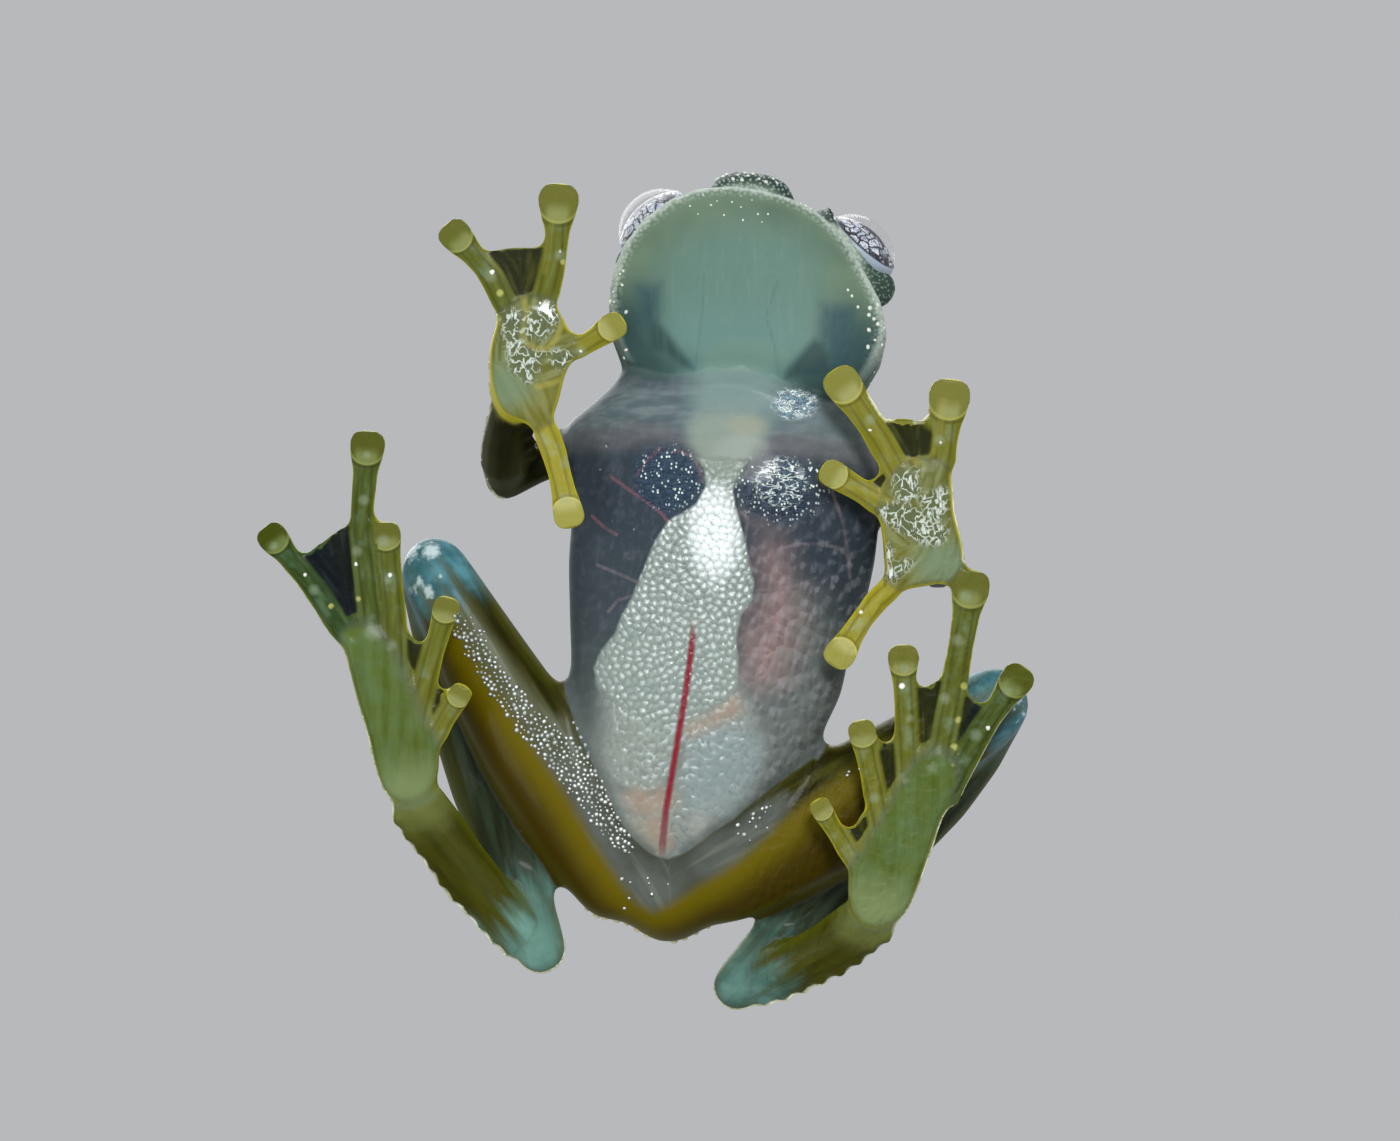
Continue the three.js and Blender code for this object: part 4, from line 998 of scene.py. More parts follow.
# %% Lips and snout
head = head.under(seen(104, 120, 104), lip_share.rise(0.8, 0.93) * ahead.rise(-1, 2.5) * 0.5)
striae = skin_finish.noise(0.5, 2, 0.6, (1.6, 0.22, 1))
head = head.under(seen(104, 124, 112), striae.rise(0.5, 0.7) * throat * 0.22)
lip = lip_share.rise(0.915, 0.96) * above_mouth.rise(0.9, 0.3)
lip = lip * ahead.rise(-3.5, 1.5) * 0.75 * (blots.rise(0.2, 0.6) * 0.5 + 0.6)
lip_flecks = flecks.rise(0.5, 0.35) * lip_share.rise(0.87, 0.94) * ahead.rise(-2, 1.5)
head = head.under(seen(166, 178, 168), (lip + lip_flecks * 0.4).at_most(1))
above_skin = two_tone((50, 66, 60), (100, 116, 104), flecks.rise(0.3, 0.18))
head = head.under(above_skin, above_mouth.rise(0.5, 1.1))
snout_skin = two_tone((46, 62, 60), (124, 138, 128), flecks.rise(0.36, 0.2))
head = head.under(snout_skin, above_mouth.rise(0.4, 1.0) * ahead.rise(4.4, 4.9))
nodes_so_far("lips")

# %% [markdown]
# ### Flanks and chest
#
# The flanks are slate blue, greyer towards the seat, rosy where the bowel shines through, and pebbled on
# the frog's left. The pebbles would take too many faces for what they add to the outline, so they are drawn
# as a lamp would show them, pale on one side and dark on the other, and the same pattern raises the skin's
# bump below.

# %% Skin of the flanks
low_down = (y_mm + wobble * 3).rise(0.5, 6.5)
on_left = x_mm.rise(1.5, 4.0)
flank = two_tone((44, 53, 61), (54, 63, 68), (y_mm + wobble * 3).rise(-5, 2.5))
flank = flank.under(seen(42, 50, 59), x_mm.rise(4, 7) * y_mm.rise(2.5, -2) * 0.8)
flank = flank.under(seen(84, 93, 90), low_down * (0.95 - on_left * 0.3))
flank = flank.under(seen(112, 116, 112), (number("in_haze") + wobble).rise(-1.4, 0.9) * 0.5)
mottled = skin_finish.noise(0.55, 3, 0.65, (1.2, 0.6, 1))
flank = flank.under(seen(96, 100, 110), mottled.rise(0.45, 0.8) * 0.22)
rosy = (number("in_pink") + wobble * 1.8).rise(-0.9, 1.0) * (y_mm.rise(-3.5, 0.0) * 0.5 + 0.4)
trunk = flank.under(seen(136, 114, 112), rosy * (mottled.rise(0.2, 0.6) * 0.5 + 0.4))
nodes_so_far("flanks")

# %% Skin of the chest
in_chest = number("in_chest")
chest = (in_chest + wobble * 1.6).rise(-0.9, 1.5)
fibres = skin_finish.noise(0.55, 2, 0.55, (0.3, 1.4, 1))
trunk = trunk.under(two_tone((78, 92, 96), (104, 115, 118), fibres.rise(0.35, 0.7)), chest * 0.92)
trunk = trunk.under(seen(112, 124, 128), chest * x_mm.rise(4.5, 7.5) * 0.5)
chest_edge = (in_chest + wobble * 1.4).rise(1.1, 0.3) * in_chest.rise(-0.7, 0.2)
trunk = trunk.under(seen(116, 102, 104), chest_edge * y_mm.rise(-8.0, -6.0) * 0.22)
nodes_so_far("chest")

# %% Pebbles, windows and vessels
pebbles = skin_finish.lit_side(0.46, (1.15, 0.8, 1))
netted = x_mm.rise(3.0, 4.6) * (y_mm + wobble * 3).rise(-4.6, 0.5)
pebbled = (netted * 0.85 + 0.15) * (mottled.rise(0.35, 0.65) * 0.7 + 0.3)
# painted light on the pebbles' lit sides and painted shade on their far sides
trunk = trunk.under(seen(146, 148, 156), pebbles.rise(0.04, 0.24) * pebbled * 0.3)
trunk = trunk.under(seen(34, 38, 46), pebbles.rise(-0.03, -0.24) * pebbled * 0.38)
window_right = (number("in_window_right") + wobble * 0.4).rise(-0.4, 0.4)
window_left = (number("in_window_left") + wobble * 0.4).rise(-0.4, 0.4)
trunk = trunk.under(seen(48, 66, 84), window_right * 0.85)
trunk = trunk.under(seen(48, 60, 76), window_left * 0.85)
vessel_skin = two_tone((128, 116, 122), (142, 88, 100), y_mm.rise(-1.8, -2.8) * x_mm.rise(2.6, 1.8))
trunk = trunk.under(vessel_skin, number("from_vessels").rise(0.11, 0.02)
    * (blots.rise(0.25, 0.6) * 0.25 + 0.12))
nodes_so_far("windows")

# %% [markdown]
# ### Organs, pearly sheet and vein
#
# The lower organs and the sheet carry the same beads, whose relief is already in the mesh. The colour goes
# with it: painted shade between beads, painted light on their tops, and a painted white highlight where a top
# would mirror the flash, strongest in a painted glare high on the sheet. The vein is a line with a soft
# brownish edge and a dark red middle that fades towards the seat.

# %% Lower organs
organs = (number("in_organs") + wobble * 0.8).rise(-0.7, 0.5)
bead = number("bead")
bead_tone = number("bead_tone")
trunk = trunk.under(two_tone((124, 128, 122), (112, 120, 117), cloud.rise(0.35, 0.65)), organs)
lobe_right = number("in_lobe_right")
lobe_left = number("in_lobe_left")
trunk = trunk.under(seen(126, 135, 128), (lobe_right + wobble * 0.6).rise(-0.4, 0.45) * 0.8)
trunk = trunk.under(seen(124, 138, 139), (lobe_left + wobble * 0.6).rise(-0.4, 0.45) * 0.75)
# painted shade between the organs' beads, and painted light on their tops, varied by each bead's tone
trunk = trunk.under(seen(92, 100, 96), organs * bead.rise(0.3, 0.02) * 0.32)
trunk = trunk.under(seen(148, 158, 156), organs * bead.rise(0.15, 0.4) * bead_tone.rise(-0.8, 1.0) * 0.28)
# painted highlight where a bead would mirror the flash
organ_glint = flashed.rise(0.9, 0.98) * bead.rise(0.2, 0.45) * (bead_tone.rise(-0.6, 1.0) * 0.6 + 0.15)
trunk = trunk.under(seen(196, 208, 210), organs * organ_glint)
lobe_edge = lobe_right.rise(-0.4, -0.05) * lobe_right.rise(0.3, 0.0)
trunk = trunk.under(seen(100, 106, 102), lobe_edge * y_mm.rise(4.5, 6.5) * 0.6)
trunk = trunk.under(seen(148, 126, 108), (number("from_folds") + wobble * 0.8).rise(0.8, 0.0) * 0.65)
warm_spot = (oval(-0.4, 9.8, 1.6, 0.9) + wobble * 2).rise(1.2, 0.2)
trunk = trunk.under(seen(142, 136, 122), warm_spot * organs * 0.4)
pale_blots = skin_finish.noise(1.3, 2).rise(0.5, 0.7) * y_mm.rise(7.5, 9.5)
trunk = trunk.under(seen(150, 152, 146), pale_blots * organs * 0.5)
nodes_so_far("organs")

# %% Pearly sheet
fading = (y_mm + wobble * 2).rise(3.2, 6.4)  # the sheet gets thinner towards the seat
pearly = number("in_pearly") + wobble * 0.35 + fading * 0.2 + 0.05
pearly = pearly.rise(fading * -0.45, 0.16 + fading * 0.4) * (1 - fading * 0.4)
# painted glare: where the sheet is paler and its highlights whiter
painted_glare = (oval(2.7, -2.3, 1.1, 2.0) + wobble * 2).rise(1.5, 0.1)
tone = bead_tone * 0.5 + 0.5
# painted shade between the beads, and painted light on their tops, with each bead's own tone
shaded_pearl_gap = two_tone((100, 110, 107), (114, 124, 119), y_mm.rise(-1.0, 3.0))
shaded_pearl_gap = shaded_pearl_gap.under(seen(152, 162, 163), painted_glare)
lit_pearl_top = two_tone((122, 134, 129), (138, 148, 143), tone).under(seen(208, 216, 216), painted_glare)
pearl = skin_finish.blend(shaded_pearl_gap, lit_pearl_top, bead.rise(0.0, 0.35))
# painted highlight where a bead's top would mirror the flash
pearl_glint = two_tone((218, 228, 228), (176, 188, 186), y_mm.rise(-1.0, 2.5))
glinting = flashed.rise(0.88, 0.98) * bead.rise(0.15, 0.45)
glinting = glinting * (tone * 0.8 + painted_glare * 0.5 + 0.05).at_most(1)
trunk = trunk.under(pearl.under(pearl_glint, glinting), pearly)
nodes_so_far("pearly sheet")

# %% Neck, sternum, vein and seams
neck = (number("in_throat") + wobble * 1.2).rise(-0.9, 0.8)
trunk = trunk.under(seen(106, 128, 126), neck * 0.85)
sternum = (number("in_sternum") + wobble * 0.8).rise(-0.4, 0.5)
trunk = trunk.under(seen(122, 134, 124), sternum * 0.85)
trunk = trunk.under(seen(146, 142, 118), (oval(4.0, -6.7, 0.9, 0.4) + wobble * 3).rise(1.6, 0.0) * 0.3)
vein_edge = number("from_vein") + (skin_finish.noise(0.4) - 0.5) * 0.03
along_vein = number("along_vein")
vein_skirt = vein_edge.rise(0.19, 0.1) * along_vein.rise(1.0, 0.9) * along_vein.rise(-0.05, 0.1)
trunk = trunk.under(seen(104, 66, 70), vein_skirt * 0.8)
vein_core = vein_edge.rise(0.12, 0.05) * along_vein.rise(0.0, 0.1) * along_vein.rise(0.97, 0.7)
trunk = trunk.under(seen(122, 24, 38), vein_core * 0.95)
trunk = trunk.under(seen(66, 74, 70), number("from_seams").rise(0.35, 0.02) * 0.5)
nodes_so_far("vein")

# %% [markdown]
# ### Glints on wet skin
#
# Where the wet skin lies in folds the flash leaves squiggles, smears and a spray of drops. The folds are
# finer than any mesh of this size could hold, so the glints are painted by where they sit on the skin, and
# never by where the camera stands. A squiggle is the thin band where a noise passes through one half.

# %% Squiggles, smears and spray
from_glare = oval(5.35, -4.55, 1.0, 1.0) ** 0.5  # millimetres from the middle of the brightest glare
drops = skin_finish.cells(0.17, (1, 0.8, 1))
dash_noise = skin_finish.noise(0.34, 2, 0.5, (0.62, 1.5, 1))
squiggles = abs(dash_noise - 0.5).rise(0.055, 0.015) * dash_noise.rise(0.2, 0.35)
smears = skin_finish.noise(0.42, 2, 0.5, (0.7, 1.3, 1)).rise(0.49, 0.56)
wet_left = (number("in_window_left") + wobble * 0.6).rise(-0.1, 0.35)
wet_chest = (number("in_wet_chest") + wobble * 0.6).rise(-0.15, 0.3)
wet_right = (number("in_window_right") + wobble * 0.6).rise(-0.1, 0.3)
sparse_drops = skin_finish.noise(0.7, 2).rise(0.36, 0.5) * (x_mm * 0.8 - y_mm).rise(2.6, 4.2)
scattered = skin_finish.noise(0.35, 1).rise(0.48, 0.58)
near_glare = (from_glare + wobble).rise(2.3, 1.2) * y_mm.rise(-5.6, -4.8) * under
spray = drops.rise(0.3, 0.2) * scattered * (wet_right * sparse_drops).at_least(near_glare)
dense = squiggles * wet_left * (from_glare + wobble * 2).rise(1.4, 0.7)
glints = dense.at_least(spray).at_least(squiggles.at_least(smears * 0.8) * wet_chest)
# painted pale blue halo of the flash's glare on the wet chest
trunk = trunk.under(seen(112, 138, 154), wet_chest * 0.8)
# painted paler sheen where the glare lies on the left window
glare_smears = wet_left * (from_glare + wobble * 2).rise(1.3, 0.5) * smears
trunk = trunk.under(seen(70, 88, 106), glare_smears * 0.8)
# painted highlights: the flash's squiggles, smears and spray of glints
trunk = trunk.under(seen(214, 228, 236), glints * 0.9)
nodes_so_far("glints")

# %% [markdown]
# ### Legs and arms
#
# Muscle shows through the skin of the legs as long fibres, so their noise is drawn out along the bones,
# which the skin's leg numbers measure. The thigh is amber with an olive far side and a band of lilac next
# to the belly, and the knee and the heel are blue where tendons lie close under the skin.

# %% Skin of the thighs
amber_inside = number("in_amber") + wobble * 0.5
amber = two_tone((84, 74, 0, 1.15), (53, 43, 0, 1.15), amber_inside.rise(0.3, 1.5))
olive = two_tone((32, 31, 2), (60, 60, 18), leg_streaks.rise(0.35, 0.7))
thigh = olive.under(amber, amber_inside.rise(-0.6, 0.1))
lilac = two_tone((80, 85, 80), (62, 66, 58), cloud.rise(0.4, 0.7))
lilac = lilac.under(seen(80, 82, 40), (y_mm + wobble * 2).rise(9.0, 4.0) * 0.6)
lilac = lilac.under(seen(104, 110, 98), leg_streaks.rise(0.52, 0.7) * 0.5)
thigh = thigh.under(lilac, (number("in_lilac") + wobble * 0.4).rise(-0.3, 0.4))
# painted glow of light through the thigh's edges
thigh = thigh.under(seen(88, 86, 20), edge_glow * 0.5)
from_knee = number("from_knee")
knee_skin = two_tone((52, 96, 104), (82, 132, 142), blots.rise(0.35, 0.7))
knee_skin = knee_skin.under(seen(98, 136, 140), leg_streaks.rise(0.55, 0.7) * 0.4)
thigh = thigh.under(knee_skin, (from_knee + (leg_streaks - 0.5) * 4).rise(3.4, 1.2))
nodes_so_far("thighs")

# %% Skin of the shanks, the tarsi and the arms
shank = two_tone((24, 28, 12), (48, 58, 44), leg_streaks.rise(0.3, 0.7))
shank = shank.under(seen(58, 58, 10), number("across_leg").rise(0.8, 1.5) * 0.6)
shank = shank.under(knee_skin, from_knee.rise(3.2, 1.0) * 0.9)
heel_skin = two_tone((64, 98, 90), (96, 132, 124), blots.rise(0.35, 0.7))
heel_skin = heel_skin.under(seen(84, 96, 88), leg_streaks.rise(0.52, 0.68) * 0.4)
heel_skin = heel_skin.under(seen(112, 152, 138), x_mm.rise(0.0, -2.5) * 0.4)
heel_skin = heel_skin.under(seen(62, 90, 80), x_mm.rise(0.5, 3.0) * 0.4)
from_heel = number("from_heel") + (leg_streaks - 0.5) * 5
shank = shank.under(heel_skin, from_heel.rise(4.2, 0.9))
# painted glow of light through the shank's edges
shank = shank.under(seen(78, 84, 20), edge_glow * 0.5)
tarsus = two_tone((46, 46, 0), (62, 63, 8), leg_streaks.rise(0.3, 0.7))
tarsus = tarsus.under(seen(64, 66, 28), abs(number("across_leg")).rise(0.7, 0.1) * 0.4)
tarsus = tarsus.under(heel_skin, from_heel.rise(3.4, 1.0))
tarsus = tarsus.under(seen(112, 120, 66), (number("from_ankle") + wobble * 2).rise(2.2, 0.6) * 0.6)
# painted glow of light through the tarsus' edges
tarsus = tarsus.under(seen(92, 98, 20), edge_glow * 0.5)
arm = two_tone((18, 17, 3), (30, 30, 12), cloud)
# painted glow of light through the arm's edges
arm = arm.under(seen(90, 90, 40), edge_glow * 0.25)
nodes_so_far("shanks, tarsi and arms")

# %% [markdown]
# ### Palms, soles, digits and webs
#
# The pads press on the glass. Palms carry silver folds that catch the flash, whose glints are painted white
# in the colour, and soles run into the toes with pale sinews. Each digit has a shaft whose edges carry a
# painted yellow glow of light shining through them, and a round disc with a collar behind it, and some
# digits are more golden than others, which is one of their numbers. Webs are thin skin between digits, so
# they are found by how thick the flesh is.

# %% Skin of the palms and soles
golden = number("golden")
from_middle = number("from_middle")
sinew = streaks(number("across_digit") * 3.2, number("from_tip") * 0.55, 1.0)
worms = abs(skin_finish.noise(0.4, 1.5, 0.5) - 0.5).rise(0.05, 0.01)
strokes = skin_finish.noise(0.28, 2, 0.6, (1.4, 0.5, 1)).rise(0.54, 0.62)
silver = (number("in_silver") + wobble * 0.7).rise(-0.25, 0.2) * under
palm_folds = number("from_palm_folds").rise(0.2, 0.03)
wrist = number("from_wrist") + wobble
hand = two_tone((72, 78, 34), (110, 118, 84), sinew.rise(0.35, 0.65))
hand = hand.under(seen(116, 110, 36), golden * 0.45)
hand = hand.under(seen(100, 120, 96), wrist.rise(1.7, 0.3) * 0.75)
hand = hand.under(seen(140, 134, 62), palm_folds * 0.4)
# silvery skin with painted glints of the flash in its white strokes and worms
silver_and_glint_skin = two_tone((72, 82, 46), (206, 216, 208), (strokes * 0.85).at_least(worms * 0.75))
hand = hand.under(silver_and_glint_skin, silver * 0.85)
# painted glow of light through the hand's edges
hand = hand.under(seen(138, 134, 36), wide_edge_glow * 0.6)
hand = hand.under(seen(184, 176, 40), edge_glow * 0.85)
sole_streaks = skin_finish.noise(0.5, 2, 0.5, (1.5, 0.2, 1))
foot = two_tone((67, 81, 24), (76, 91, 33), sole_streaks.rise(0.25, 0.75))
foot = foot.under(seen(88, 106, 70), from_middle.rise(0.4, 0.1) * sole_streaks.rise(0.3, 0.6) * 0.3)
foot = foot.under(seen(82, 106, 76), blots.rise(0.3, 0.8) * 0.4)
foot = foot.under(seen(112, 126, 84), (number("from_ankle") + wobble).rise(2.6, 0.9) * 0.8)
# painted glow of light through the sole's edges
foot = foot.under(seen(126, 130, 50), edge_glow * 0.8)
nodes_so_far("palms and soles")

# %% Skin of the digits
disc_share = number("disc_share")
disc_round = number("disc_round")
shaft = two_tone((38, 58, 22), (130, 124, 34), golden)
shaft = shaft.under(two_tone((70, 90, 50), (142, 138, 70), golden), sinew.rise(0.4, 0.68) * 0.55)
shaft_blots = blots.rise(0.5, 0.7) * from_middle.rise(0.45, 0.2)
shaft = shaft.under(two_tone((86, 110, 84), (136, 146, 112), golden), shaft_blots * 0.5)
shaft_lines = abs(from_middle - 0.26).rise(0.1, 0.02)
shaft = shaft.under(two_tone((24, 36, 8), (84, 78, 14), golden), shaft_lines * 0.42)
# painted glow of light through the shaft's edges
shaft = shaft.under(two_tone((84, 96, 22), (168, 158, 30), golden), wide_edge_glow * 0.6)
pad = two_tone((54, 61, 0), (134, 132, 62), golden)
pad_low = (disc_share + wobble * 0.3).rise(-0.02, 0.34) * (1 - from_middle.rise(0.3, 0.6))
pad = pad.under(two_tone((104, 118, 70), (166, 162, 108), golden), pad_low * 0.65)
collar = (disc_round - 1.02).rise(0.0, 0.06)  # 0 on the pad, 1 behind it
digit = pad.under(shaft, collar)
pad_edge = abs(disc_round - 0.98).rise(0.09, 0.02) * disc_share.rise(0.05, 0.3)
digit = digit.under(two_tone((112, 122, 56), (178, 172, 84), golden), pad_edge * 0.55)
collar_shade = abs(disc_round - 1.14).rise(0.12, 0.03) * disc_share.rise(0.1, 0.3)
digit = digit.under(two_tone((34, 38, 10), (92, 86, 20), golden), collar_shade * 0.5)
# painted glow of light through the digits' thin edges
thin_edge_glow = steep.rise(0.3, 0.75)
digit = digit.under(two_tone((128, 134, 36), (196, 188, 48), golden.rise(0.0, 0.6)), thin_edge_glow * 0.85)
nodes_so_far("digits")

# %% Webs
fleshy = (number("part_finger") + number("part_toe") + number("part_hand") + number("part_foot")).rise(0.3,
    0.8)
web = number("thickness").rise(WEB_THICKNESS + 0.06, WEB_THICKNESS - 0.06) * abs(facing_up).rise(0.4, 0.8)
web = web * from_middle.rise(0.4, 0.6) * fleshy * disc_round.rise(1.4, 1.9)
on_hand = golden.rise(0.05, 0.3)
web_skin = two_tone((0, 6, 12), (28, 31, 6), on_hand)
web_skin = web_skin.under(two_tone((30, 46, 50), (76, 76, 24), on_hand), sinew.rise(0.45, 0.75) * 0.4)
nodes_so_far("webs")

# %% [markdown]
# ### All parts together
#
# The parts' weights decide which colour shows where, and each border is a soft step. Then come what lies
# over several parts: folds, spots, glints, shines and the pale skin along the ridge. The back is lime green
# with small yellowish spots. It isn't in the photograph, so it follows what such frogs look like.

# %% All parts together
rear = (number("in_lower_body") + wobble * 0.2).rise(-0.15, 0.25)
head_share = (number("part_head") + wobble * 0.3).rise(0.15, 0.85)
colour = trunk.under(head, head_share)
colour = colour.under(thigh, (number("part_thigh") + rear * number("part_trunk")).rise(0.25, 0.75))
for part, skin_colour in {"shank": shank, "tarsus": tarsus, "arm": arm}.items():
    colour = colour.under(skin_colour, number("part_" + part).rise(0.25, 0.75))
colour = colour.under(hand, number("wide_hand").rise(0.15, 0.75))
colour = colour.under(foot, number("wide_foot").rise(0.15, 0.75))
colour = colour.under(digit, number("wide_digit").rise(0.25, 0.85))
colour = colour.under(seen(150, 142, 66), palm_folds * fleshy * 0.2)
# the glint spots are painted highlights; the pale and yellow spots are the skin's own colour
SPOTS = (("pale", (132, 146, 122), 0.8, 0.4), ("yellow", (176, 176, 100), 0.6, 0.65),
    ("glint", (236, 240, 236), 0.5, 0.9))
for kind, spot_colour, full, share in SPOTS:
    colour = colour.under(seen(*spot_colour), number("spot_" + kind).rise(0.0, full) * fleshy * share)
colour = colour.under(web_skin, web)
# painted highlights on the knees, the groin and the flanks
shines = (number("spot_shine") + (grain - 0.5) * 2.2).rise(-0.1, 0.7) * (1 - fleshy) * under
colour = colour.under(seen(206, 222, 226), shines * 0.7)
colour = colour.under(seen(204, 206, 186), number("from_ridges").rise(0.22, 0.08) * 0.9)
back = two_tone((92, 124, 50), (112, 144, 66), cloud)
back = back.under(seen(176, 184, 96), skin_finish.cells(0.9).rise(0.15, 0.1) * 0.7)
colour = colour.under(back, (facing_up + wobble * 0.4).rise(-0.05, 0.35) * (1 - fleshy * 0.7))
nodes_so_far("all parts")

# %% [markdown]
# ### Relief and wetness
#
# What is finer than the mesh goes into a bump of a few hundredths of a millimetre: grain, silver folds,
# pebbles and drops. Wet places get a coat over the skin, which mirrors the lamp, and the dry ones hardly
# any.

# %% Relief, wetness and the finished skin
BUMP_DEPTH = 0.06

on_knee = from_knee.rise(1.5, 0.9)
wet_spots = wet_left.at_least(wet_chest).at_least(window_right * 0.6) * under
bump_height = grain * 0.2 + strokes * silver * fleshy * 1.4 + pebbles * pebbled * under * 2.0
bump_height = bump_height + (drops.rise(0.5, 0.1) * 1.4 + squiggles * 1.6) * wet_spots
bump_height = bump_height + blots * on_knee * 2.5
wet = (pearly * 0.6).at_least(silver * fleshy).at_least(wet_spots * 0.15).at_least(on_knee * 0.5) * under
skin_finish.surface(Base_Color=colour, Roughness=0.45, Specular_IOR_Level=0.1,
    Coat_Weight=wet * 0.9 + 0.05 * (1 - head_share), Coat_Roughness=0.1, Coat_IOR=1.5, IOR=1.4,
    Normal=skin_finish.bumped(bump_height, BUMP_DEPTH))
skin.data.materials.append(skin_finish.material)
print("skin finish:", len(skin_finish.tree.nodes), "nodes")

# %% [markdown]
# ## Eyes
#
# The eyes look sideways and down, so from below they are seen edge on: a silver dome with a dark net, sunk
# under a clear cornea that stands out like a bubble. Each eye is turned round its own axis as a lathe would
# do it: first a ball with the iris dome in front, and then a thin clear shell. How far a point lies across,
# up and out in the eye is kept on the mesh, so that the net can be drawn in the eye's own measures.

# %% Turning an eye
SIDES = 72


def turned(name, profile, middle, gaze):
    """A mesh turned from a profile of (out, radius) about the gaze, with its measures kept."""
    side = gaze.cross(Vector((0, 0, 1))).normalized()
    up = side.cross(gaze)
    shape = bmesh.new()
    rings = []
    for out, radius in profile:
        count = 1 if radius < 1e-6 else SIDES
        centre = middle + gaze * out
        rings.append([shape.verts.new(centre + (side * math.cos(a) + up * math.sin(a)) * radius)
            for a in np.linspace(0, 2 * math.pi, count, endpoint=False)])
    for lower, upper in zip(rings, rings[1:]):
        for i in range(SIDES):
            j = (i + 1) % SIDES
            round_the_face = ((lower, i), (lower, j), (upper, j), (upper, i))
            shape.faces.new(list(dict.fromkeys(ring[k % len(ring)] for ring, k in round_the_face)))
    bmesh.ops.recalc_face_normals(shape, faces=shape.faces)
    mesh = bpy.data.meshes.new(name)
    shape.to_mesh(mesh)
    shape.free()
    mesh.polygons.foreach_set("use_smooth", [True] * len(mesh.polygons))
    offsets = corners_of(mesh) - np.array(middle)
    for key, axis in (("eye_across", side), ("eye_up", up), ("eye_out", gaze)):
        attribute = mesh.attributes.new(key, "FLOAT", "POINT")
        attribute.data.foreach_set("value", (offsets @ np.array(axis)).astype(np.float32))
    return new_object(name, mesh)


def arc(radius, start, end, count=24):
    """Points of a round profile from one angle to another, 0 being straight out."""
    return [(radius * math.cos(math.radians(a)), abs(radius * math.sin(math.radians(a))))
        for a in np.linspace(start, end, count)]


print("an eye is turned in", SIDES, "steps")

# %% The eyes' profiles, and the two eyes
EYES = {"right": (Vector((0.34, -15.01, 6.36)), -48), "left": (Vector((8.50, -13.93, 5.94)), 36)}
EYE_DROP = 14  # degrees that the eyes look down
BALL = 1.70
IRIS_PLANE, IRIS_RADIUS, IRIS_RISE = 0.57, 1.58, 0.55
CORNEA, CORNEA_BACK, CORNEA_THICKNESS = 1.80, 0.3, 0.05
CORNEA_FOOT = 0.35  # how far out of the eye's middle the shell begins
NEAR_AXIS = 3  # degrees: the last ring before the point on the axis

iris_ball = (IRIS_RADIUS ** 2 + IRIS_RISE ** 2) / (2 * IRIS_RISE)
iris_reach = math.degrees(math.asin(IRIS_RADIUS / iris_ball))
limbus = math.degrees(math.atan2(IRIS_RADIUS, IRIS_PLANE))
back_of_ball = [(-BALL, 0.0)] + arc(BALL, 172, limbus, 30)
iris_dome = [(IRIS_PLANE + IRIS_RISE - iris_ball + out, radius)
    for out, radius in arc(iris_ball, iris_reach, NEAR_AXIS, 16)]
ball_profile = back_of_ball + iris_dome + [(IRIS_PLANE + IRIS_RISE, 0.0)]
shell_edge = math.degrees(math.acos((CORNEA_FOOT + CORNEA_BACK) / CORNEA))
inner = CORNEA - CORNEA_THICKNESS
outside = [(CORNEA, 0.0)] + arc(CORNEA, NEAR_AXIS, shell_edge)
inside = arc(inner, shell_edge, NEAR_AXIS) + [(inner, 0.0)]
shell_profile = [(out - CORNEA_BACK, radius) for out, radius in outside + inside]
eyes = {}
for side, (middle, turn) in EYES.items():
    heading = math.radians(turn + HEAD_YAW)
    drop = math.radians(EYE_DROP)
    level = math.cos(drop)
    gaze = Vector((math.sin(heading) * level, -math.cos(heading) * level, -math.sin(drop)))
    ball = turned("eyeball_" + side, ball_profile, middle, gaze)
    eyes[side] = ball, turned("cornea_" + side, shell_profile, middle, gaze)
print("eyes turned:", {side: len(ball.data.polygons) for side, (ball, _) in eyes.items()})

# %% [markdown]
# ### Iris and cornea
#
# The iris is silver with a black net, coarse and fine, and a dark ring at its edge. A net is the border
# between scattered cells, bent with noise so that no mesh is straight. The cornea is clear: light passes
# it, and it mirrors only where it is seen from the side, which a mix of a transparent and a glossy shader
# shows.

# %% Finish of the eyeball
iris_finish = Finish("netted_iris")
across, up, out = (iris_finish.number(key) for key in ("eye_across", "eye_up", "eye_out"))
flat_place = iris_finish.node("ShaderNodeCombineXYZ", sockets={0: across, 1: up})
warp_sockets = {"Vector": flat_place, "Scale": 3.0, "Detail": 3.0}
warp = iris_finish.node("ShaderNodeTexNoise", sockets=warp_sockets, output="Color")
bend_sockets = {0: warp, 1: (0.3, 0.3, 0.0), 2: flat_place}
bent = iris_finish.node("ShaderNodeVectorMath", {"operation": "MULTIPLY_ADD"}, bend_sockets)
from_axis = (across * across + up * up) ** 0.5


def net(scale, width):
    """1 on the dark lines of a net with this many meshes to a millimetre."""
    settings, sockets = {"feature": "DISTANCE_TO_EDGE"}, {"Vector": bent, "Scale": scale}
    border = iris_finish.node("ShaderNodeTexVoronoi", settings, sockets, output="Distance")
    return border.rise(width, width * 0.35)


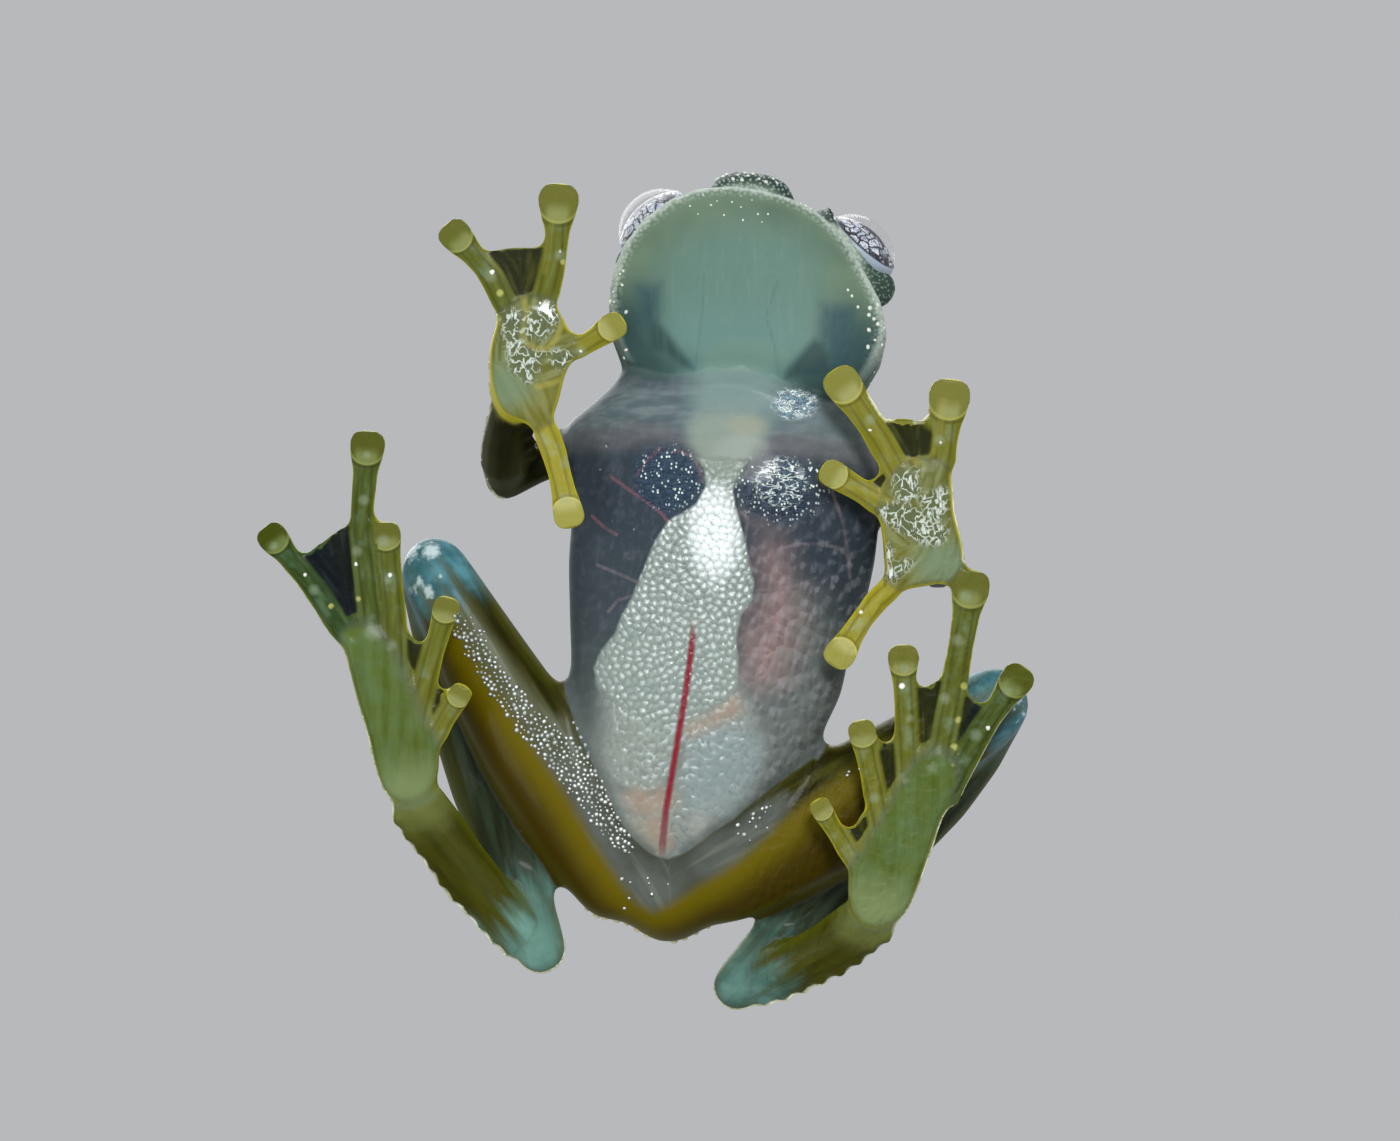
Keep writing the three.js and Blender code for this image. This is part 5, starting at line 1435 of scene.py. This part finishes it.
silvery = iris_finish.noise(0.3).rise(0.4, 0.7)
iris = iris_finish.blend(seen(232, 238, 246, 1), seen(186, 194, 222, 1), silvery)
iris = iris.under(seen(20, 22, 36, 1), net(2.5, 0.13))
iris = iris.under(seen(34, 36, 56, 1), net(6.0, 0.09) * 0.6)
iris = iris.under(seen(40, 44, 64, 1), iris_finish.noise(0.12, 3).rise(0.58, 0.66) * 0.5)
iris = iris.under(seen(20, 24, 40, 1), from_axis.rise(1.44, 1.54) * out.rise(0.5, 0.56))
pupil = ((across / 0.62) ** 2 + (up / 0.3) ** 2).rise(1.08, 0.95)
iris = iris.under(seen(6, 6, 10, 1), pupil)
white = iris_finish.blend(seen(150, 162, 178), seen(118, 128, 150), out.rise(0.35, -0.3))
on_iris = out.rise(0.55, 0.6)
iris_finish.surface(Base_Color=white.under(iris, on_iris), Roughness=0.35, Specular_IOR_Level=0.4)
print("iris finish:", len(iris_finish.tree.nodes), "nodes")


# %% Finish of the cornea, and the eyes go to their places
def clear_finish(name, roughness, narrowness, most, least):
    """A clear sheet. What it mirrors grows from least in the middle to most where it is seen edge on."""
    finish = Finish(name)
    edge = finish.node("ShaderNodeLayerWeight", sockets={"Blend": 0.5}, output="Facing")
    gloss = finish.node("ShaderNodeBsdfGlossy", sockets={"Roughness": roughness})
    clear = finish.node("ShaderNodeBsdfTransparent")
    mixed = finish.node("ShaderNodeMixShader",
        sockets={0: edge ** narrowness * most + least, 1: clear, 2: gloss})
    finish.connect(finish.output.inputs["Surface"], mixed)
    return finish


cornea_finish = clear_finish("clear_cornea", 0.04, 12, 0.5, 0.03)
for side, (ball, cornea) in eyes.items():
    ball.data.materials.append(iris_finish.material)
    cornea.data.materials.append(cornea_finish.material)
    cornea.visible_shadow = False
    settle(ball)
    settle(cornea)
    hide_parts("eye_" + side)
print("eyes in place:", ", ".join(eyes))

# %% [markdown]
# ## Granules
#
# Small white granules stand on the skin: a dense band on the thighs, dots on the lips and the snout, and
# warts along the fringes. They are the same little dome many times over, so Geometry Nodes place them. One
# tree scatters domes over the skin where a number allows it, another puts them on points that were measured
# in the photograph. Both end in real faces, and the result is kept as a plain mesh.

# %% A tree that sets domes
DENSEST = 220.0  # domes to a square millimetre before they are thinned by their spacing
KEPT_NUMBER = "GeometryNodeInputNamedAttribute"


def granule_tree(name, scattered):
    """Domes on a carrier's faces, or on its points. Sizes are inputs, in millimetres."""
    tree = bpy.data.node_groups.new(name, "GeometryNodeTree")
    plan = Plan(tree)
    add = tree.interface.new_socket
    add("Geometry", in_out="INPUT", socket_type="NodeSocketGeometry")
    for label, value in (("Spacing", 0.3), ("Size", 0.2), ("Flatness", 0.6), ("Smallest", 0.6)):
        add(label, in_out="INPUT", socket_type="NodeSocketFloat").default_value = value
    add("Finish", in_out="INPUT", socket_type="NodeSocketMaterial")
    add("Geometry", in_out="OUTPUT", socket_type="NodeSocketGeometry")
    given = tree.nodes.new("NodeGroupInput")
    carrier, spacing, size, flatness, smallest, finish = (Socket(plan, given.outputs[i]) for i in range(6))
    if scattered:
        room = plan.node(KEPT_NUMBER, {"data_type": "FLOAT"}, {"Name": "dome_room"})
        points = plan.node("GeometryNodeDistributePointsOnFaces", {"distribute_method": "POISSON"},
            {"Mesh": carrier, "Distance Min": spacing, "Density Max": DENSEST, "Density Factor": room,
                "Seed": 3})
        rotation = Socket(plan, points.socket.node.outputs["Rotation"])
        detail = 1
    else:
        up = plan.node(KEPT_NUMBER, {"data_type": "FLOAT_VECTOR"}, {"Name": "dome_up"})
        points = plan.node("GeometryNodeMeshToPoints", sockets={0: carrier})
        rotation = plan.node("FunctionNodeAlignRotationToVector", {"axis": "Z"}, {"Vector": up})
        detail = 2
    dome = plan.node("GeometryNodeMeshIcoSphere", sockets={"Radius": 0.5, "Subdivisions": detail})
    dome = plan.node("GeometryNodeSetShadeSmooth", sockets={0: dome})
    share, length = (plan.node("FunctionNodeRandomValue", {"data_type": "FLOAT"},
        {"Min": least, "Max": most, "Seed": seed}, output=1)
        for least, most, seed in ((smallest, 1.0, 5), (0.7, 1.25, 8)))
    width = share * size
    scale = plan.node("ShaderNodeCombineXYZ", sockets={0: width, 1: width * length, 2: width * flatness})
    placed = plan.node("GeometryNodeInstanceOnPoints",
        sockets={"Points": points, "Instance": dome, "Rotation": rotation, "Scale": scale})
    real = plan.node("GeometryNodeRealizeInstances", sockets={0: placed})
    done = plan.node("GeometryNodeSetMaterial", sockets={"Geometry": real, "Material": finish})
    plan.connect(tree.nodes.new("NodeGroupOutput").inputs[0], done)
    return tree


scatter_tree = granule_tree("scattered_granules", True)
dot_tree = granule_tree("measured_dots", False)
print("nodes in each tree:", {tree.name: len(tree.nodes) for tree in (scatter_tree, dot_tree)})


# %% Growing domes on an object
def grow(thing, tree, slot, **inputs):
    """Runs a tree on an object, keeps the result as a plain mesh above the pane, and settles it."""
    modifier = thing.modifiers.new("granules", "NODES")
    modifier.node_group = tree
    for item in tree.interface.items_tree:
        if item.in_out == "INPUT" and item.name in inputs:
            modifier[item.identifier] = inputs[item.name]
    mesh = made_plain(thing)
    put_corners(mesh, np.maximum(corners_of(mesh), (-99, -99, 0)))
    settle(thing)
    print(thing.name, len(mesh.polygons), "faces")


print("domes end at height 0")

# %% Finish of the granules
granule_finish = Finish("white_granules")
granule_shade = granule_finish.noise(0.4).rise(0.3, 0.7)
granule_body = granule_finish.blend(seen(92, 98, 88), seen(124, 131, 124), granule_shade)
# painted highlight where a granule would mirror the flash
granule_shine = granule_finish.towards_flash().rise(0.8, 0.95) * (granule_finish.noise(0.5).rise(0.3, 0.6)
    * 0.7 + 0.3)
granule_colour = granule_body.under(seen(224, 232, 234), granule_shine)
granule_finish.surface(Base_Color=granule_colour, Roughness=0.3, Specular_IOR_Level=0.3)
dot_finish = Finish("white_dots")
dot_colour = dot_finish.blend(seen(176, 182, 172), seen(206, 210, 200), dot_finish.noise(0.5))
dot_finish.surface(Base_Color=dot_colour, Roughness=0.3, Specular_IOR_Level=0.4)
wart_finish = Finish("yellowish_warts")
wart_colour = wart_finish.blend(seen(176, 172, 110), seen(206, 206, 170), wart_finish.noise(0.6))
wart_finish.surface(Base_Color=wart_colour, Roughness=0.35, Specular_IOR_Level=0.4)
print("finishes:", ", ".join(finish.material.name for finish in (granule_finish, dot_finish, wart_finish)))

# %% The thighs' granules
GRANULE_FIELDS = [
    [(452, 614), (470, 612), (492, 646), (510, 676), (532, 702), (556, 722), (576, 740), (592, 762),
        (606, 790), (617, 815), (634, 846), (628, 860), (600, 834), (584, 822), (571, 799), (556, 780),
        (536, 758), (518, 734), (497, 706), (474, 668), (453, 636)],
    [(726, 838), (736, 828), (752, 812), (770, 806), (776, 818), (764, 834), (744, 846)],
    [(843, 768), (858, 766), (858, 778), (844, 780)],
    [(604, 880), (630, 868), (664, 870), (684, 880), (672, 908), (644, 914), (616, 906)],
]
FIELD_SHARES = [1.0, 0.4, 0.35, 0.12]  # how densely each field is set
FIELD_EDGE = 0.12  # millimetres over which a field fades
HIGHEST_GRANULE = 4.5

fields = [share * np.clip(outline_distance(places, field) / FIELD_EDGE + 0.6, 0, 1)
    for share, field in zip(FIELD_SHARES, GRANULE_FIELDS)]
room = np.maximum.reduce(fields) * (normals[:, 2] < 0.1) * (corners[:, 2] < HIGHEST_GRANULE)
carrier_faces = [tuple(face.vertices) for face in skin_mesh.polygons
    if all(room[i] > 0 for i in face.vertices)]
used = sorted({i for face in carrier_faces for i in face})
renumber = {old: new for new, old in enumerate(used)}
carrier = bpy.data.meshes.new("thigh_granules")
renumbered = [tuple(renumber[i] for i in face) for face in carrier_faces]
carrier.from_pydata(corners[used].tolist(), [], renumbered)
dome_room = carrier.attributes.new("dome_room", "FLOAT", "POINT")
dome_room.data.foreach_set("value", room[used].astype(np.float32))
grow(new_object("thigh_granules", carrier), scatter_tree, "skin_thigh", Spacing=0.155, Size=0.28,
    Flatness=0.5, Smallest=0.35, Finish=granule_finish.material)

# %% [markdown]
# ### Measured dots
#
# The dots of the lips and the snout and the warts of the fringes were measured one by one. Each pixel has
# to find its point on the body: a ray from the camera gives the one that the photographer saw, and for what
# stands on the outline it is the nearest point where the skin turns away. A line that runs along a toe must
# not climb onto the knee above it, so the fringes look only among the points of the limbs' ends.

# %% The measured fringes
LEG_FRINGES = [
    [(290, 561), (314, 606), (342, 638), (350, 662), (362, 707), (367, 732), (376, 760), (377, 780),
        (390, 803), (404, 827), (421, 853), (440, 880), (452, 899), (467, 919), (481, 939), (501, 961),
        (517, 973), (531, 979), (547, 972), (563, 961), (571, 947), (567, 935)],
    [(1034, 681), (1018, 699), (1001, 717), (988, 736), (971, 758), (959, 782), (949, 799), (944, 823),
        (936, 848), (925, 870), (917, 889), (908, 908), (897, 927), (881, 941), (865, 954), (840, 968),
        (815, 990), (790, 1004), (765, 1015), (738, 1022), (715, 1008), (706, 985)],
]
ARM_FRINGES = [
    [(501, 308), (492, 352), (484, 380), (479, 404), (479, 429), (481, 454), (486, 476), (494, 493),
        (504, 499)],
    [(950, 482), (957, 503), (964, 530), (966, 546), (963, 561)],
    [(866, 390), (884, 407), (898, 421), (913, 420), (925, 413), (931, 404)],
]
print("fringes measured:", len(LEG_FRINGES) + len(ARM_FRINGES))

# %% From a pixel to the skin
HEEL_ROW = 900  # below this row of the photograph a shank belongs to the heel
TURNING_AWAY = 0.3  # a normal this flat is on the outline
HIGHEST_EDGE = 5

outer = np.flatnonzero((abs(normals[:, 2]) < TURNING_AWAY) & (corners[:, 2] < HIGHEST_EDGE))
on_limb = sum(weights[part] for part in ("hand", "foot", "finger", "toe", "tarsus", "arm"))
on_limb = on_limb + weights["shank"] * (places[:, 1] > HEEL_ROW)
outer_on_limbs = outer[on_limb[outer] > 0.5]


def nearest_to(pixel, among):
    """Of the skin's corners, or some of them, the one that appears nearest to a pixel, with its normal."""
    index = among[np.argmin(np.linalg.norm(places[among] - np.array(pixel), axis=1))]
    return Vector(corners[index]), Vector(normals[index])


def on_skin(pixel):
    """The point of the skin that the camera sees at a pixel, with its normal, or the nearest to it."""
    across, down = pixel[0] - PICTURE_WIDTH / 2, pixel[1] - PICTURE_HEIGHT / 2
    ray = Vector((across / PIXELS_PER_MM, down / PIXELS_PER_MM, -EYE.z))
    hit = skin_tree.ray_cast(EYE, ray.normalized())
    return (hit[0], hit[1]) if hit[0] is not None else nearest_to(pixel, np.arange(len(places)))


def on_edge(pixel):
    """The nearest point where the skin turns away from the camera."""
    return nearest_to(pixel, outer)


def on_limb_edge(pixel):
    """The same on the hands, feet, tarsi, arms and heels alone."""
    return nearest_to(pixel, outer_on_limbs)


def along(line, step):
    """Pixels along a chain, every so many pixels."""
    chain = np.array(line, float)
    run = np.concatenate([[0], np.cumsum(np.linalg.norm(np.diff(chain, axis=0), axis=1))])
    at = np.arange(step / 2, run[-1], step)
    return list(zip(np.interp(at, run, chain[:, 0]), np.interp(at, run, chain[:, 1])))


print(len(outer), "corners on the outline,", len(outer_on_limbs), "of them on the limbs' ends")

# %% Dots on the lips and snout, and warts on the fringes
LIP_DOTS = [(858, 307), (870, 308), (878, 305), (869, 315), (874, 319), (869, 330), (868, 347), (875, 340),
    (878, 324), (622, 285), (623, 271), (620, 274), (626, 312), (614, 302), (610, 302), (626, 350),
    (624, 358), (848, 290), (852, 296), (884, 328), (882, 345), (874, 372), (870, 384), (613, 292)]
FRONT_DOTS = [(698, 214), (711, 205), (724, 215), (732, 202), (741, 207), (743, 220), (758, 214),
    (762, 222), (768, 214), (703, 195), (717, 201), (752, 200), (690, 206), (741, 196)]
SNOUT_DOTS = [(722, 175), (726, 172), (733, 179), (718, 179), (744, 172), (742, 180), (753, 174),
    (759, 179), (766, 182), (773, 179), (777, 183), (801, 201), (807, 205), (812, 208), (714, 178),
    (748, 176), (738, 175)]
REAR_WARTS = [(585, 912), (595, 919), (605, 925), (615, 929), (624, 931), (635, 934), (646, 937),
    (660, 939), (674, 942), (687, 943), (699, 943), (711, 939)]
WART_STEP = 10  # pixels between two warts of a fringe


def dotted(name, pixels, finish, slot, find=on_skin, **sizes):
    """A dome at each measured pixel."""
    spots = [find(pixel) for pixel in pixels]
    mesh = bpy.data.meshes.new(name)
    mesh.from_pydata([list(spot) for spot, _ in spots], [], [])
    ups = np.array([list(up) for _, up in spots], np.float32)
    mesh.attributes.new("dome_up", "FLOAT_VECTOR", "POINT").data.foreach_set("vector", ups.ravel())
    grow(new_object(name, mesh), dot_tree, slot, Finish=finish.material, **sizes)


dotted("lip_dots", LIP_DOTS, dot_finish, "skin_head", Size=0.22, Flatness=0.6, Smallest=0.4)
dotted("front_dots", FRONT_DOTS, dot_finish, "skin_head", Size=0.11, Flatness=0.6, Smallest=0.5)
dotted("snout_dots", SNOUT_DOTS, dot_finish, "skin_head", Size=0.2, Flatness=0.7, Smallest=0.6)
dotted("rear_warts", REAR_WARTS, wart_finish, "skin_thigh", on_edge, Size=0.34, Flatness=0.7, Smallest=0.5)
warty_lines = (LEG_FRINGES[0], ARM_FRINGES[0], LEG_FRINGES[1])
fringe_pixels = [pixel for line in warty_lines for pixel in along(line, WART_STEP)]
dotted("fringe_warts", fringe_pixels, wart_finish, "skin_shank", on_limb_edge,
    Size=0.15, Flatness=0.7, Smallest=0.4)

# %% [markdown]
# ### A pale ridge
#
# Along the outer edge of the arms and tarsi runs a fringe: the frame's solids have its waves, and on its
# crest the skin is a thin pale ridge. A curve with a round bevel follows the measured line over the skin.
# It is evened out, laid back on the skin, and kept as a plain mesh. The skin beside it is paled by how far
# it is from the ridge.

# %% The ridge along the fringes
RIDGE_RADIUS = 0.045
RIDGE_STEP = 6  # pixels
LARGEST_STEP = 0.8  # a spot that lies this much higher or lower than the last one is on another limb
EVENING_ROUNDS = 3
ridge_spots = []


def ridge(name, lines, finish):
    """A thin round ridge on the outer edge of the limbs, following measured lines."""
    curve = bpy.data.curves.new(name, "CURVE")
    curve.dimensions = "3D"
    curve.bevel_depth, curve.bevel_resolution, curve.use_fill_caps = RIDGE_RADIUS, 1, True
    for line in lines:
        spots = []
        for pixel in along(line, RIDGE_STEP):
            spot = list(on_limb_edge(pixel)[0])
            if not spots or abs(spot[2] - spots[-1][2]) < LARGEST_STEP:
                spots.append(spot)
        spots = np.array(spots)
        for _ in range(EVENING_ROUNDS):
            spots[1:-1] = (spots[:-2] + 2 * spots[1:-1] + spots[2:]) / 4
        spots = np.array([list(skin_tree.find_nearest(Vector(spot))[0]) for spot in spots])
        spots[:, 2] = np.maximum(spots[:, 2], RIDGE_RADIUS)
        ridge_spots.extend(spots)
        spline = curve.splines.new("POLY")
        spline.points.add(len(spots) - 1)
        spline.points.foreach_set("co", np.c_[spots, np.ones(len(spots))].ravel())
    source = new_object(name + "_line", curve)
    mesh = bpy.data.meshes.new_from_object(source.evaluated_get(bpy.context.evaluated_depsgraph_get()))
    bpy.data.objects.remove(source)
    mesh.polygons.foreach_set("use_smooth", [True] * len(mesh.polygons))
    mesh.materials.clear()
    mesh.materials.append(finish.material)
    thing = new_object(name, mesh)
    settle(thing)
    print(name, len(mesh.polygons), "faces")


print("a ridge is", 2 * RIDGE_RADIUS, "mm thick")

# %% The ridges of the legs and the arms
ridge_finish = Finish("pale_fringe")
ridge_shade = ridge_finish.noise(0.5).rise(0.35, 0.6)
ridge_colour = ridge_finish.blend(seen(150, 156, 110), seen(206, 208, 184), ridge_shade)
ridge_finish.surface(Base_Color=ridge_colour, Roughness=0.4, Specular_IOR_Level=0.3)
ridge("leg_ridges", LEG_FRINGES, ridge_finish)
ridge("arm_ridges", ARM_FRINGES, ridge_finish)

# %% Pale skin beside the ridge
from_ridges = np.full(len(corners), FAR_AWAY)
for spot in ridge_spots:
    np.minimum(from_ridges, np.linalg.norm(corners - spot, axis=1), out=from_ridges)
keep_on_skin("from_ridges", from_ridges)
print("skin paled along", len(ridge_spots), "spots")

# %% [markdown]
# ## Studio
#
# The animal clings to clear glass, so it needs a pane to stand on and something pale to stand in front of.
# The pane is one large sheet at height 0. From right below it shows nothing, and from the side it only
# mirrors a little. The pale floor lies 300 mm lower, so that the camera, which looks up, still stands above
# it.

# %% Floor and pane
FLOOR_HEIGHT = -0.3
PANE_HEIGHT = -0.00004


def sheet_of(name, half, height):
    """One flat face for the stage. It isn't part of the frog."""
    mesh = bpy.data.meshes.new(name)
    ends = [(-half, -half), (half, -half), (half, half), (-half, half)]
    mesh.from_pydata([(x, y, height) for x, y in ends], [], [(0, 1, 2, 3)])
    thing = new_object(name, mesh)
    return thing


floor = sheet_of("floor", 4, FLOOR_HEIGHT)
floor_finish = Finish("pale_floor")
floor_finish.surface(Base_Color=seen(228, 228, 225, 1), Roughness=0.8)
floor.data.materials.append(floor_finish.material)

pane = sheet_of("pane", 1.5, PANE_HEIGHT)
pane.data.materials.append(clear_finish("clear_pane", 0.03, 4, 0.6, 0.0).material)
pane.visible_shadow = pane.visible_diffuse = False
print("floor", round(1000 * FLOOR_HEIGHT), "mm and pane", round(1000 * PANE_HEIGHT, 2), "mm from height 0")

# %% [markdown]
# ### Light
#
# The photograph was lit by a flash beside the lens, so the brightest lamp stands there. A soft lamp from
# the side and one from above keep the back and the sides from going dark, and the world adds an even pale
# light.

# %% Light
world = bpy.data.worlds.new("studio")
bpy.context.scene.world = world
world.use_nodes = True
world.node_tree.nodes["Background"].inputs["Color"].default_value = (0.95, 0.97, 1, 1)
world.node_tree.nodes["Background"].inputs["Strength"].default_value = 0.5


AIM = Vector((0, 0, 0.004))  # the middle of the frog


def lamp(name, place, size, watts):
    """A soft round lamp that the camera doesn't see."""
    data = bpy.data.lights.new(name, "AREA")
    data.shape = "DISK"
    data.size = size
    data.energy = watts
    thing = new_object(name, data)
    thing.location = place
    thing.rotation_euler = (AIM - Vector(place)).to_track_quat("-Z", "Y").to_euler()
    thing.visible_camera = False


lamp("flash", (0.03, -0.085, -0.19), 0.06, 0.3)
lamp("soft_side", (-0.16, 0.05, -0.16), 0.1, 0.1)
lamp("soft_above", (-0.1, -0.2, 0.35), 0.4, 1.2)
bpy.context.scene.view_settings.view_transform = "Standard"
print("lamps:", ", ".join(light.name for light in bpy.data.lights))

# %% [markdown]
# ## The end
